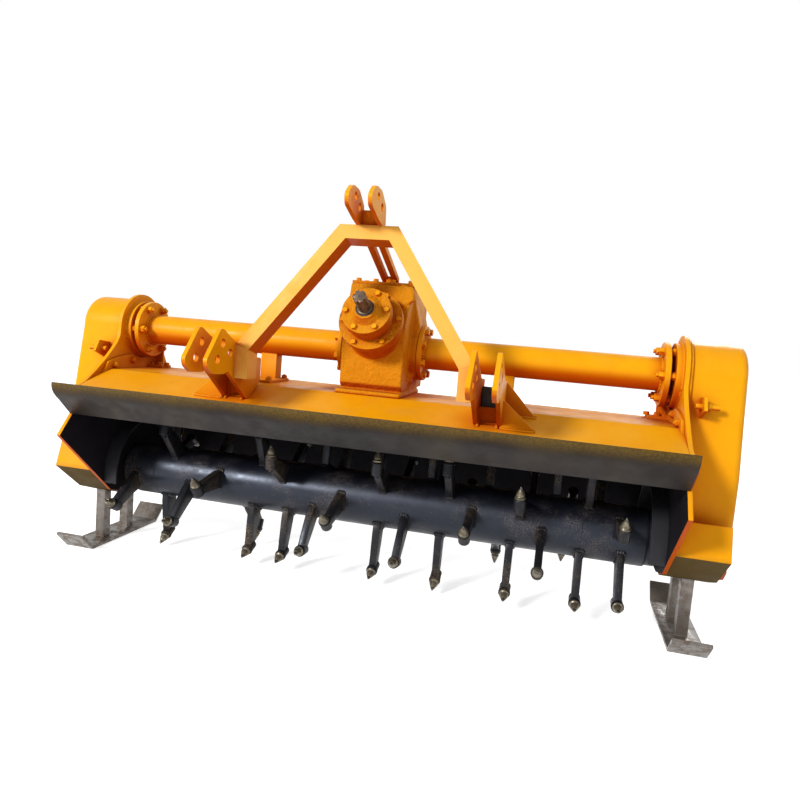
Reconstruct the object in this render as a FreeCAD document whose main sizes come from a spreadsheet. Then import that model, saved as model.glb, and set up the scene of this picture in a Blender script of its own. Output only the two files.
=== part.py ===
import FreeCAD, Part
import math
import os
from FreeCAD import Vector, Placement, Rotation
import Sketcher

# Three-point mounted rotor soil mixer.
# Frame: millimetres, +Z up, the tractor is towards -Y, the floor is Z = 0,
# X = 0 is the middle of the machine and the origin is under the middle of its box.
# Profiles are drawn in Y and Z, with Y counted from the plane through the cross tube
# and the rotor, and every sub-part is then set back by axis_y.

doc = FreeCAD.newDocument("soil_mixer")
sheet = doc.addObject("Spreadsheet::Sheet", "dims")
NODES = []
ROW = [0]
X_AXIS, Y_AXIS, Z_AXIS = Vector(1, 0, 0), Vector(0, 1, 0), Vector(0, 0, 1)


class Size:
    """A length or angle that knows its value and the sheet expression it comes from."""

    def __init__(self, value, text):
        self.value, self.text = float(value), text

    def _join(self, other, sign, value):
        text = other.text if isinstance(other, Size) else repr(float(other))
        return Size(value, "(%s %s %s)" % (self.text, sign, text))

    def __add__(self, other):
        return self._join(other, "+", self.value + number(other))

    def __sub__(self, other):
        return self._join(other, "-", self.value - number(other))

    def __mul__(self, other):
        return self._join(other, "*", self.value * number(other))

    def __truediv__(self, other):
        return self._join(other, "/", self.value / number(other))

    def __neg__(self):
        return Size(-self.value, "(0 - %s)" % self.text)

    def __radd__(self, other):
        return self + other

    def __rsub__(self, other):
        return -self + other

    def __rmul__(self, other):
        return self * other


def number(item):
    return item.value if isinstance(item, Size) else float(item)


def dim(alias, value, note=""):
    """Write one driving dimension into the sheet and hand it back."""
    ROW[0] += 1
    sheet.set("A%d" % ROW[0], alias)
    sheet.set("B%d" % ROW[0], str(value))
    sheet.setAlias("B%d" % ROW[0], alias)
    sheet.set("C%d" % ROW[0], note)
    return Size(value, "dims." + alias)


def bind(obj, prop, size):
    if isinstance(size, Size):
        obj.setExpression(prop, size.text)


# ---------------------------------------------------------------- driving dimensions
axis_y = dim("axis_y", 62.5, "cross tube and rotor plane behind the middle of the box")
tube_z = dim("tube_axis_z", 873.0, "cross tube axis above the floor")
rotor_z = dim("rotor_axis_z", 304.0, "rotor axis above the floor")
inside = dim("inside_half", 1028.0, "half the width between the side plates")
plate_t = dim("plate_thick", 14.0, "side plates")
sheet_t = dim("sheet_thick", 8.0, "hood, lip and case plate")
tube_r = dim("tube_radius", 57.0, "cross tube")
tube_wall = dim("tube_wall", 8.0)
flange_r = dim("flange_radius", 109.0, "tube and hub flanges")
flange_t = dim("flange_thick", 18.0)
flange_gap = dim("flange_gap", 16.0, "between tube flange and hub flange")
hub_t = dim("hub_thick", 22.0, "hub flange on the side plate")
bolt_pcd = dim("flange_bolt_pcd", 178.0)
spacer_r = dim("spacer_radius", 11.0)
head_r = dim("plate_head_radius", 136.0, "side plate round the tube")
crease_y = dim("hood_crease_y", -206.0)
hood_z = dim("hood_top_z", 716.0, "flat top of the hood")
front_y = dim("hood_front_y", -449.66, "front edge of the hood, on the back of the lip")
front_z = dim("hood_front_z", 628.0)
fold_y = dim("lip_top_y", -488.0, "upper edge of the lip, free in front of the hood")
fold_z = dim("lip_top_z", 679.0)
rear_y = dim("hood_rear_y", 112.0, "rear end of the flat top")
tail_y = dim("hood_tail_y", 440.0, "rear edge of the hood")
tail_z = dim("hood_tail_z", 556.0)
bead_y = dim("hood_bead_y", 434.0, "rear face of the bar under the hood's rear edge")
bead_drop = dim("hood_bead_drop", 48.0, "from the hood's rear edge down to the bar's lower edge")
lip_y = dim("lip_edge_y", -390.0, "lower edge of the front lip")
lip_z = dim("lip_edge_z", 559.0)
lip_bend_y = dim("lip_bend_y", -478.0)
lip_bend_z = dim("lip_bend_z", 645.0)
emerge_y = dim("plate_emerge_y", -326.0, "where the side plate rises above the hood")
toe_y = dim("plate_toe_y", 448.0, "widest point of the side plate, front and rear")
toe_z = dim("plate_toe_z", 489.0)
heel_y = dim("plate_heel_y", 161.0, "lower end of the plate's chamfer")
heel_z = dim("plate_heel_z", 234.0)
case_w = dim("case_depth", 180.0, "drive case, outwards from the side plate")
case_top_r = dim("case_top_radius", 116.0)
case_half = dim("case_half_width", 170.0, "drive case at rotor level")
case_round = dim("case_rounding", 26.0, "outer edge of the drive case")
rim_t = dim("case_rim_thick", 10.0)
rim_out = dim("case_rim_out", 10.0, "rim beyond the case")
skid_w = dim("skid_width", 162.0)
skid_top_z = dim("skid_top_z", 431.0)
skid_top_y = dim("skid_top_y", 226.0)
skid_fold_y = dim("skid_fold_y", 259.0)
skid_fold_z = dim("skid_fold_z", 327.0)
skid_low_y = dim("skid_low_y", 123.0)
skid_low_z = dim("skid_low_z", 220.0)
skid_keel_z = dim("skid_keel_z", 184.0)
skid_wall = dim("skid_wall", 8.0)
sole_t = dim("sole_thick", 12.0, "runner under the skid")
sole_w = dim("sole_width", 120.0)
sole_half = dim("sole_half_length", 270.0)
leg_size = dim("runner_leg_size", 40.0, "square leg of the runner")
leg_y = dim("runner_leg_y", 76.0)
drum_r = dim("drum_radius", 101.0)
skirt_r = drum_r - dim("skirt_step", 6.0, "thin skirt round the bearing at each end")
drum_end = inside - dim("drum_end_gap", 48.0, "between the drum's end and the side plate")
skirt_end = inside - dim("skirt_gap", 10.0)
skirt_t = dim("skirt_thick", 5.5)
end_plate = drum_end - dim("end_plate_set_back", 2.0)
drum_wall = dim("drum_wall", 14.0)
stub_r = dim("rotor_stub_radius", 40.0)
stub_end = inside - dim("rotor_stub_gap", 8.0)
shaft_fit = dim("shaft_fit", 0.05, "radial running clearance")
bearing_r = dim("bearing_radius", 84.0)
bearing_x = inside - dim("bearing_width", 42.0)
guard_r = dim("guard_radius", 205.0)
guard_x = inside - dim("guard_width", 52.0)
tip_r = dim("tip_radius", 298.0, "tip circle of the picks")
input_tilt = dim("input_tilt", 24.8, "input shaft above level, degrees")
spline_r = dim("spline_radius", 22.25, "44.5 mm six-spline input shaft")
journal_r = dim("input_journal_radius", 26.0, "shaft inside its bearing and seal")
spline_end = dim("spline_end", 412.0, "shaft end, from the tube axis")
carrier_r = dim("carrier_radius", 111.0)
carrier_neck_r = dim("carrier_neck_radius", 100.0)
carrier_in = dim("carrier_face_in", 196.0)
carrier_back = dim("carrier_flange_back", 225.0)
carrier_out = dim("carrier_face_out", 250.0)
cap_r = dim("cap_radius", 84.0)
cap_back = dim("cap_flange_back", 281.0)
cap_out = dim("cap_face_out", 315.0)
cone_out = dim("cone_face_out", 330.0)
box_half = dim("gearbox_half_width", 112.0)
box_front = dim("gearbox_front_y", 176.0)
box_low_z = dim("gearbox_low_z", 737.0, "the casting stands on a set-back foot")
box_top_z = tube_z + dim("gearbox_top", 231.0, "top of the casting above the tube axis")
foot_t = dim("gearbox_foot_thick", 15.0)
neck_len = dim("input_neck_length", 76.0, "round neck of the casting behind the carrier")
cover_t = dim("gearbox_cover_thick", 12.0)
boss_r = dim("gearbox_boss_radius", 100.0, "side bosses and the tubes' inner flanges")
boss_out = dim("gearbox_boss_out", 28.0)
lean = dim("frame_lean", 13.35, "hitch frame leans back, degrees")
bar = dim("frame_bar", 47.0, "box section of the hitch frame, seen from the front")
bar_deep = dim("frame_bar_depth", 66.0, "its other side, front to back")
frame_y = dim("frame_front_y", -419.6, "front face of the hitch frame at tube height")
frame_top = dim("frame_top", 413.0, "top edge, along the lean")
frame_top_x = dim("frame_top_half", 98.0)
frame_foot_x = dim("frame_foot_x", 391.0, "outer side of each foot")
knee_t = dim("frame_knee", -12.0, "outer knee, along the lean")
hitch_x = dim("hitch_half_spacing", 435.0, "lower link centres, category II")
hitch_gap = dim("hitch_gap", 60.0)
ear_t = dim("ear_thick", 14.0)
hitch_hole_r = dim("hitch_hole_radius", 14.75, "28.7 mm lower link pin")
top_gap = dim("top_link_gap", 60.0)
top_hole_r = dim("top_link_hole_radius", 13.0, "25.4 mm top link pin")
brace_t = dim("brace_thick", 22.0, "braces behind the hitch frame")
lug_t = dim("brace_lug_thick", 18.0)
door_z = dim("door_axis_z", 545.0, "hinge of the rear door")
door_y = dim("door_axis_y", 458.0)
door_low_z = dim("door_low_z", 250.0)
door_t = dim("door_thick", 8.0)
hinge_in = dim("hinge_from_plate", 208.0, "outer hinges, inwards from the side plate")
pin_r = dim("door_pin_radius", 9.0)
door_fit = dim("door_pin_fit", 0.3)
doc.recompute()


# ---------------------------------------------------------------- building blocks
def plane_of(body, role):
    for feature in body.Origin.OriginFeatures:
        if feature.Role == role:
            return feature
    raise RuntimeError("no origin plane " + role)


def sketch_on(body, role, name):
    sketch = body.newObject("Sketcher::SketchObject", name)
    sketch.AttachmentSupport = [(plane_of(body, role), "")]
    sketch.MapMode = "FlatFace"
    return sketch


def polygon(sketch, points):
    """Closed outline whose corners are each held by a level and an upright distance."""
    count = len(points)
    flat = [Vector(number(a), number(b), 0) for a, b in points]
    base = sketch.GeometryCount
    for i in range(count):
        sketch.addGeometry(Part.LineSegment(flat[i], flat[(i + 1) % count]), False)
    for i in range(count):
        sketch.addConstraint(Sketcher.Constraint(
            "Coincident", base + i, 2, base + (i + 1) % count, 1))
    for i, (a, b) in enumerate(points):
        for kind, size in (("DistanceX", a), ("DistanceY", b)):
            index = sketch.addConstraint(Sketcher.Constraint(
                kind, -1, 1, base + i, 1, number(size)))
            bind(sketch, "Constraints[%d]" % index, size)


def circle(sketch, a, b, radius):
    index = sketch.addGeometry(Part.Circle(
        Vector(number(a), number(b), 0), Z_AXIS, number(radius)), False)
    for kind, size in (("DistanceX", a), ("DistanceY", b)):
        at = sketch.addConstraint(Sketcher.Constraint(kind, -1, 1, index, 3, number(size)))
        bind(sketch, "Constraints[%d]" % at, size)
    at = sketch.addConstraint(Sketcher.Constraint("Radius", index, number(radius)))
    bind(sketch, "Constraints[%d]" % at, radius)


def pad(body, sketch, length, both_ways=False, name="Pad"):
    feature = body.newObject("PartDesign::Pad", name)
    feature.Profile = sketch
    feature.Length = number(length)
    bind(feature, "Length", length)
    feature.Midplane = both_ways
    return feature


def pocket(body, sketch, both_ways=True, name="Pocket"):
    feature = body.newObject("PartDesign::Pocket", name)
    feature.Profile = sketch
    feature.Type = 1
    feature.Midplane = both_ways
    return feature


def new_body(label):
    body = doc.addObject("PartDesign::Body", label)
    body.Label = label
    NODES.append(body)
    return body


def place(obj, x, y, z, rotation=None):
    """Set a placement and bind the three coordinates to the sheet."""
    obj.Placement = Placement(Vector(number(x), number(y), number(z)),
                              rotation or Rotation())
    for prop, size in (("x", x), ("y", y), ("z", z)):
        bind(obj, "Placement.Base." + prop, size)
    return obj


def slab(label, outlines, x, length, holes=(), both_ways=False):
    """Plate or section drawn in Y and Z and pushed along +X from x.

    outlines are lists of corners or (y, z, radius) discs, holes are (y, z, radius).
    """
    body = new_body(label)
    for number_, shape in enumerate(outlines):
        sketch = sketch_on(body, "YZ_Plane", "outline%d" % number_)
        if isinstance(shape, tuple):
            circle(sketch, *shape)
        else:
            polygon(sketch, shape)
        pad(body, sketch, length, both_ways, "Pad%d" % number_)
    if holes:
        sketch = sketch_on(body, "YZ_Plane", "holes")
        for hole in holes:
            circle(sketch, *hole)
        pocket(body, sketch)
    place(body, x, axis_y, 0)
    return body


def turned(label, outline, base=None, hand=1):
    """Round piece: an outline of (along, radius) corners turned about its own X axis."""
    body = new_body(label)
    sketch = sketch_on(body, "XY_Plane", "outline")
    polygon(sketch, outline)
    turn = body.newObject("PartDesign::Revolution", "Turn")
    turn.Profile = sketch
    turn.ReferenceAxis = (sketch, ["H_Axis"])
    turn.Angle = 360
    rotation = Rotation(Z_AXIS, 0 if hand > 0 else 180)
    place(body, *(base or (0, axis_y, tube_z)), rotation)
    return body


def block(label, x, y, z, dx, dy, dz):
    """Part::Box from its low corner, with y counted from the tube plane."""
    box = doc.addObject("Part::Box", label)
    box.Label = label
    for prop, size in (("Length", dx), ("Width", dy), ("Height", dz)):
        setattr(box, prop, number(size))
        bind(box, prop, size)
    return place(box, x, y + axis_y, z)


def rod(label, x, y, z, radius, length, rotation):
    """Part::Cylinder along +Z of its placement, with y counted from the tube plane."""
    cylinder = doc.addObject("Part::Cylinder", label)
    cylinder.Label = label
    for prop, size in (("Radius", radius), ("Height", length)):
        setattr(cylinder, prop, number(size))
        bind(cylinder, prop, size)
    return place(cylinder, x, y + axis_y, z, rotation)


ALONG_X = Rotation(Y_AXIS, 90)


def fuse(label, shapes):
    joined = doc.addObject("Part::MultiFuse", label)
    joined.Shapes = shapes
    joined.Refine = True
    joined.Label = label
    return joined


def cut(label, base, tool):
    result = doc.addObject("Part::Cut", label)
    result.Base, result.Tool = base, tool
    result.Refine = True
    result.Label = label
    return result


def keep(obj, label):
    obj.Label = label
    NODES.append(obj)
    return obj


def plain(label, shape):
    feature = doc.addObject("Part::Feature", label)
    feature.Label = label
    feature.Shape = shape
    NODES.append(feature)
    return feature


SIDES = (("left", -1), ("right", 1))
LEAN_SIN = math.sin(math.radians(number(lean)))
LEAN_COS = math.cos(math.radians(number(lean)))


def low_x(side, inner, length):
    """Low X end of a piece that runs outwards from inner on the given side."""
    return inner if side > 0 else -(inner + length)


# ---------------------------------------------------------------- hood and side plates
def hood_height(y):
    """Height of the hood's top face over a y in front of the crease."""
    return hood_z + (y - crease_y) * (hood_z - front_z) / (crease_y - front_y)


def tail_under(y):
    """Height of the hood's lower face over a y on its rear slope."""
    return tail_z - sheet_t + (tail_y - y) * (hood_z - tail_z) / (tail_y - rear_y)


def make_hood():
    body = new_body("hood")
    sketch = sketch_on(body, "YZ_Plane", "section")
    polygon(sketch, [
        (front_y + sheet_t * 1.031, front_z - sheet_t), (front_y, front_z),
        (crease_y, hood_z),
        (rear_y, hood_z), (tail_y, tail_z), (tail_y, tail_z - sheet_t),
        (bead_y, tail_under(bead_y)), (bead_y, tail_z - bead_drop),
        (bead_y - sheet_t, tail_z - bead_drop), (bead_y - sheet_t, tail_under(bead_y - sheet_t)),
        (rear_y, hood_z - sheet_t), (crease_y, hood_z - sheet_t)])
    pad(body, sketch, inside * 2, True)
    place(body, 0, axis_y, 0)


def make_lip():
    slab("front_lip", [[
        (fold_y, fold_z), (lip_bend_y, lip_bend_z), (lip_y, lip_z),
        (lip_y + 5.6, lip_z + 5.7), (lip_bend_y + 7.4, lip_bend_z + 3.3),
        (fold_y + 8, fold_z)]], 0, (inside + plate_t) * 2 - 12, (), True)


def plate_outline():
    return [
        (-head_r, tube_z), (-(head_r + 3), tube_z - 30), (-(head_r + 16), tube_z - 54),
        (-(head_r + 46), tube_z - 86), (-(head_r + 80), tube_z - 117),
        (-(head_r + 134), tube_z - 160), (emerge_y, hood_height(emerge_y) + 1),
        (front_y, front_z),
        (lip_y + 5.6, lip_z + 5.7), (-toe_y, toe_z),
        (-heel_y, heel_z), (-40, 200), (40, 200), (heel_y, heel_z), (toe_y, toe_z),
        (tail_y, tail_z - 20), (rear_y + 90, tube_z - 180), (head_r + 10, tube_z - 80),
        (head_r, tube_z)]


def make_side_plates():
    for name, side in SIDES:
        slab(name + "_side_plate", [plate_outline(), (0, tube_z, head_r)],
             low_x(side, inside, plate_t), plate_t)


# ---------------------------------------------------------------- drive cases and skids
def case_outline(grow):
    return [(-(case_top_r + grow), tube_z), (-(case_half + grow), tube_z - 300),
            (-(case_half + grow), rotor_z - 20), (-(skid_low_y - 3), skid_low_z + 12),
            (-20, skid_keel_z + 10), (20, skid_keel_z + 10), (skid_low_y - 3, skid_low_z + 12),
            (case_half + grow, rotor_z - 20),
            (case_half + grow, tube_z - 300), (case_top_r + grow, tube_z)]


def make_cases():
    for name, side in SIDES:
        start = inside + plate_t
        body = slab(name + "_drive_case",
                    [case_outline(0), (0, tube_z, case_top_r)],
                    low_x(side, start, case_w), case_w)
        rim = [(-(case_top_r + rim_out), tube_z), (-(case_half + rim_out), tube_z - 300),
               (-(case_half + rim_out), skid_top_z + 30), (case_half + rim_out, skid_top_z + 30),
               (case_half + rim_out, tube_z - 300), (case_top_r + rim_out, tube_z)]
        offset = case_w - rim_t if side < 0 else None
        for shape in (rim, (0, tube_z, case_top_r + rim_out)):
            sketch = sketch_on(body, "YZ_Plane", "rim")
            if offset is not None:
                sketch.AttachmentOffset = Placement(Vector(0, 0, number(offset)), Rotation())
                sketch.setExpression("AttachmentOffset.Base.z", offset.text)
            if isinstance(shape, tuple):
                circle(sketch, *shape)
            else:
                polygon(sketch, shape)
            pad(body, sketch, rim_t, False, "Rim")
        round_outer_edges(body, number(case_w) if side > 0 else 0.0)


def round_outer_edges(body, face_x):
    """Round the edges of the case's outer face, above the skid."""
    last = body.Tip
    doc.recompute()
    names = []
    for index, edge in enumerate(last.Shape.Edges):
        box = edge.BoundBox
        if (abs(box.XMin - face_x) < 0.01 and abs(box.XMax - face_x) < 0.01
                and box.ZMin > number(rotor_z) - 21 and box.ZMax - box.ZMin > 60):
            names.append("Edge%d" % (index + 1))
    fillet = body.newObject("PartDesign::Fillet", "Rounding")
    fillet.Base = (last, names)
    fillet.Radius = number(case_round)
    bind(fillet, "Radius", case_round)
    body.Tip = fillet


def case_front(depth):
    """Front of a case at a depth below the tube axis, down to the case's widest level."""
    return -(case_top_r + (case_half - case_top_r) * (depth / 300.0))


def make_case_brackets():
    """Small upright plate on the front of each case with the adjusting bolt through it."""
    for name, side in SIDES:
        plate = slab("bracket_plate", [[
            (case_front(60), tube_z - 60), (case_front(52) - 63, tube_z - 52),
            (case_front(94) - 78, tube_z - 94), (case_front(124), tube_z - 124)]],
            low_x(side, inside + plate_t + 40, 10), 10)
        NODES.pop()
        plate.Label = name + "_bracket_plate"
        bolt = rod(name + "_adjuster", low_x(side, inside + plate_t + 20, 72),
                   case_front(84) - 40, tube_z - 84, 9, 72, ALONG_X)
        nut = rod(name + "_adjuster_nut", low_x(side, inside + plate_t + 50, 14),
                  case_front(84) - 40, tube_z - 84, 15, 14, ALONG_X)
        keep(fuse(name + "_case_bracket", [plate, bolt, nut]), name + "_case_bracket")


def make_end_brackets():
    """Upstand that bolts the end of the hood to the side plate, with its gusset and foot."""
    for name, side in SIDES:
        web = slab("end_web", [[
            (-240, hood_height(Size(-240, "(0 - 240)"))), (-215, tube_z - 129),
            (-166, tube_z - 114), (-114, tube_z - (flange_r - 3)), (-80, tube_z - (flange_r - 5)),
            (-48, tube_z - (flange_r + 4)), (0, tube_z - (flange_r + 9)),
            (48, tube_z - (flange_r + 4)), (flange_r - 25, tube_z - (flange_r - 29)),
            (flange_r - 15, tube_z - (flange_r - 29)), (flange_r - 9, hood_z),
            (crease_y, hood_z)]],
            low_x(side, inside - 10, 10), 10)
        NODES.pop()
        web.Label = name + "_end_web"
        gusset_ = block(name + "_end_gusset", low_x(side, inside - 44, 34), flange_r - 25,
                        hood_z, 34, 10, tube_z - hood_z - (flange_r - 29))
        foot = block(name + "_end_foot", low_x(side, inside - 78, 68), 30, hood_z, 68, 64, 10)
        keep(fuse(name + "_end_bracket", [web, gusset_, foot]), name + "_end_bracket")


def make_skids():
    for name, side in SIDES:
        start = inside + plate_t
        x = low_x(side, start, skid_w)
        body = new_body(name + "_skid")
        sketch = sketch_on(body, "YZ_Plane", "outline")
        polygon(sketch, [(-skid_top_y, skid_top_z), (-skid_fold_y, skid_fold_z),
                         (-skid_low_y, skid_low_z), (-20, skid_keel_z), (20, skid_keel_z),
                         (skid_low_y, skid_low_z), (skid_fold_y, skid_fold_z),
                         (skid_top_y, skid_top_z)])
        pad(body, sketch, skid_w)
        hollow = sketch_on(body, "YZ_Plane", "hollow")
        polygon(hollow, [(-(skid_top_y - skid_wall), skid_top_z + 1),
                         (-(skid_fold_y - skid_wall), skid_fold_z + 4),
                         (-(skid_low_y - 3), skid_low_z + 12), (-20, skid_keel_z + 10),
                         (20, skid_keel_z + 10), (skid_low_y - 3, skid_low_z + 12),
                         (skid_fold_y - skid_wall, skid_fold_z + 4),
                         (skid_top_y - skid_wall, skid_top_z + 1)])
        pocket(body, hollow)
        place(body, x, axis_y, 0)
        make_runner(name, x)


def make_runner(name, x):
    """Depth runner: a sole with turned-up ends on two square legs under the skid."""
    sole = slab("sole", [[
        (-sole_half, 60), (-(sole_half - 60), 0), (sole_half - 60, 0), (sole_half, 60),
        (sole_half - 9, 69), (sole_half - 65, sole_t), (-(sole_half - 65), sole_t),
        (-(sole_half - 9), 69)]], x + (skid_w - sole_w) / 2, sole_w)
    NODES.pop()
    # the legs end against the sloping underside of the skid
    near, away = leg_y - leg_size / 2, leg_y + leg_size / 2
    rise = (skid_low_z - skid_keel_z) / (skid_low_y - 20)
    legs = []
    for sign in (-1, 1):
        legs.append(slab("leg", [[
            (near * sign, sole_t), (away * sign, sole_t),
            (away * sign, skid_keel_z + (away - 20) * rise),
            (near * sign, skid_keel_z + (near - 20) * rise)]],
            x + (skid_w - leg_size) / 2, leg_size))
        NODES.pop()
    keep(fuse(name + "_skid_runner", [sole] + legs), name + "_skid_runner")
    sole.Label = name + "_sole"


# ---------------------------------------------------------------- cross tube
def make_tubes():
    inner = box_half + boss_out
    for name, side in SIDES:
        flange_in = inside - hub_t - flange_gap - flange_t
        turned(name + "_axle_tube", [
            (inner, tube_r - tube_wall), (inner, boss_r), (inner + 16, boss_r),
            (inner + 16, tube_r), (flange_in, tube_r), (flange_in, flange_r),
            (flange_in + flange_t, flange_r), (flange_in + flange_t, tube_r - tube_wall)],
            hand=side)
        turned(name + "_hub_flange", [
            (inside - hub_t, 30), (inside - hub_t, flange_r), (inside, flange_r), (inside, 30)],
            hand=side)
        spacers = []
        for step in range(6):
            angle = math.radians(60 * step)
            spot = Vector(number(low_x(side, inside - hub_t - flange_gap, flange_gap)),
                          number(axis_y) + number(bolt_pcd) / 2 * math.cos(angle),
                          number(tube_z) + number(bolt_pcd) / 2 * math.sin(angle))
            spacers.append(Part.makeCylinder(number(spacer_r), number(flange_gap), spot, X_AXIS))
        plain(name + "_flange_spacers", Part.makeCompound(spacers))
        post_x = hitch_x + 18
        post_w = 64
        post = block("post", low_x(side, post_x - post_w / 2, post_w), -26, hood_z + 10,
                     post_w, 52, tube_z - hood_z - 10)
        foot = block("foot", low_x(side, post_x - 56, 112), -130, hood_z, 112, 180, 10)
        bore = rod("bore", low_x(side, post_x - 80, 160), 0, tube_z, tube_r, 160, ALONG_X)
        keep(cut(name + "_tube_post", fuse(name + "_post_body", [post, foot]), bore),
             name + "_tube_post")


# ---------------------------------------------------------------- gearbox and input
def tilted(label, outline):
    """Round piece on the input shaft's axis, drawn as (distance from the tube axis, radius)."""
    body = new_body(label)
    sketch = sketch_on(body, "XY_Plane", "outline")
    polygon(sketch, outline)
    turn = body.newObject("PartDesign::Revolution", "Turn")
    turn.Profile = sketch
    turn.ReferenceAxis = (sketch, ["H_Axis"])
    turn.Angle = 360
    lead = Rotation(Z_AXIS, -90)
    tilt = Rotation(X_AXIS, -number(input_tilt))
    place(body, 0, axis_y, tube_z, tilt.multiply(lead))
    return body


def make_gearbox():
    tilt = math.radians(number(input_tilt))
    cos_t, sin_t = math.cos(tilt), math.sin(tilt)
    body = new_body("gearbox_housing")
    sketch = sketch_on(body, "YZ_Plane", "outline")
    # the sloping face stands square to the input shaft at carrier_in from the tube axis
    front_y, front_z = -(carrier_in * cos_t), tube_z + carrier_in * sin_t
    polygon(sketch, [
        (-(box_front - 16), box_low_z), (-box_front, box_low_z + 16),
        (-box_front, tube_z + carrier_in * 0.44),
        (front_y + 122 * sin_t, front_z + 122 * cos_t),
        (front_y + 122 * sin_t + 10, box_top_z),
        (box_front - 40, box_top_z), (box_front - 8, box_top_z - 40),
        (box_front - 8, box_low_z)])
    pad(body, sketch, box_half * 2, True)
    place(body, 0, axis_y, 0)
    neck = body.newObject("PartDesign::AdditiveCylinder", "Neck")
    neck.Radius = number(carrier_neck_r)
    neck.Height = number(neck_len)
    bind(neck, "Radius", carrier_neck_r)
    bind(neck, "Height", neck_len)
    neck_in = number(carrier_in - neck_len)
    neck.Placement = Placement(
        Vector(0, -neck_in * cos_t, number(tube_z) + neck_in * sin_t),
        Rotation(Z_AXIS, Vector(0, -cos_t, sin_t)))
    body.Tip = neck
    for name, wide, near, away, low, high in (
            ("foot", box_half + 6, crease_y, rear_y - 2, hood_z, hood_z + foot_t),
            ("waist", box_half - 6, -(box_front - 24), rear_y - 2, hood_z + foot_t, box_low_z)):
        foot = sketch_on(body, "XY_Plane", name)
        foot.AttachmentOffset = Placement(Vector(0, 0, number(low)), Rotation())
        foot.setExpression("AttachmentOffset.Base.z", low.text)
        polygon(foot, [(-wide, near), (wide, near), (wide, away), (-wide, away)])
        pad(body, foot, high - low, False, name.capitalize())
    for side in (-1, 1):
        offset = low_x(side, box_half, boss_out)
        sketch = sketch_on(body, "YZ_Plane", "side_boss")
        circle(sketch, 0, tube_z, boss_r)
        sketch.AttachmentOffset = Placement(Vector(0, 0, number(offset)), Rotation())
        sketch.setExpression("AttachmentOffset.Base.z", offset.text)
        pad(body, sketch, boss_out, False, "SideBoss")
    block_ = block("gearbox_cover", -(box_half + 4), -96, box_top_z, (box_half + 4) * 2,
                   96 + box_front - 40, cover_t)
    keep(block_, "gearbox_cover")
    bore = journal_r + shaft_fit
    tilted("input_carrier", [
        (carrier_in, bore), (carrier_in, carrier_neck_r), (carrier_back, carrier_neck_r),
        (carrier_back, carrier_r), (carrier_out, carrier_r), (carrier_out, bore)])
    tilted("input_bearing_cap", [
        (carrier_out, bore), (carrier_out, cap_r - 5), (cap_back, cap_r - 5),
        (cap_back, cap_r), (cap_out, cap_r), (cap_out, 56), (cone_out, 41),
        (cone_out + 4, 38), (cone_out + 4, bore)])
    tilted("input_shaft", [
        (carrier_in + 2, 0), (carrier_in + 2, journal_r), (cone_out + 8, journal_r),
        (cone_out + 8, spline_r), (spline_end - 4, spline_r),
        (spline_end, spline_r - 4), (spline_end, 0)])


# ---------------------------------------------------------------- rotor
# Each pick: distance along the rotor, angle below the forward level line (degrees).
PICKS = (
    (-958, 14), (-855, 75), (-804, -62), (-727, 24), (-600, -12), (-527, 111), (-465, 62),
    (-436, -75), (-335, -43), (-322, 60), (-211, 36), (-205, -110), (-100, 0), (40, 62),
    (56, -50), (146, 30), (215, -110), (272, 70), (303, -58), (387, -6), (467, 127),
    (530, 58), (557, -36), (635, 16), (720, 137), (769, 53), (786, -80), (889, -25),
    (903, 42), (-915, 190), (-880, 250), (-760, 160), (-680, 215), (-560, 185),
    (-500, 235), (-425, 150), (-365, 205), (-260, 165), (-150, 225), (-50, 180), (5, 240),
    (100, 200), (185, 160), (250, 220), (345, 180), (430, 235), (500, 165), (590, 205),
    (675, 250), (740, 185), (830, 225), (950, 170))
TABLE_HALF = 980.0  # half length of the drum that the table is laid out on
ARM_HALF = 13.0
ARM_ROOT = 34.0
ARM_NECK = 20.0
HOLDER_R = 20.0
HOLDER_HALF = 24.0
PICK_LEAN = 42.0
SHANK_R = 12.0
NOSE_LEN = 44.0


def pick_frame(x, angle):
    """Placement whose +X is radial, +Z the rotor axis, at the rotor's centre line."""
    turn = math.radians(angle)
    radial = Vector(0, -math.cos(turn), -math.sin(turn))
    ahead = Vector(0, -math.sin(turn), math.cos(turn))
    return Placement(Vector(x, number(axis_y), number(rotor_z)),
                     Rotation(radial, ahead, X_AXIS, "XYZ"))


def pick_shapes():
    """One arm with its holder, and one pick, both drawn in the pick's own frame."""
    tip = number(tip_r)
    turn = math.radians(PICK_LEAN)
    nose = Vector(math.cos(turn), math.sin(turn), 0)
    # the point of the nose lies on the tip circle
    centre = Vector(tip, 0, 0) - nose * (NOSE_LEN + HOLDER_HALF)
    root = number(drum_r) - 12
    outline = [Vector(root, -ARM_ROOT, 0), Vector(root, ARM_ROOT, 0),
               Vector(root + 40, ARM_NECK + 4, 0), Vector(centre.x, centre.y + ARM_NECK, 0),
               Vector(centre.x + 6, centre.y - ARM_NECK, 0)]
    wire = Part.makePolygon(outline + [outline[0]])
    arm = Part.Face(wire).extrude(Vector(0, 0, 2 * ARM_HALF))
    arm.translate(Vector(0, 0, -ARM_HALF))
    holder = Part.makeCylinder(HOLDER_R, 2 * HOLDER_HALF, centre - nose * HOLDER_HALF, nose)
    arm = arm.fuse(holder).removeSplitter()
    start = centre + nose * HOLDER_HALF
    collar = Part.makeCylinder(HOLDER_R - 3, 8, start, nose)
    cone = Part.makeCone(HOLDER_R - 5, 4, NOSE_LEN - 8, start + nose * 8, nose)
    return arm, collar.fuse(cone).removeSplitter()


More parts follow.
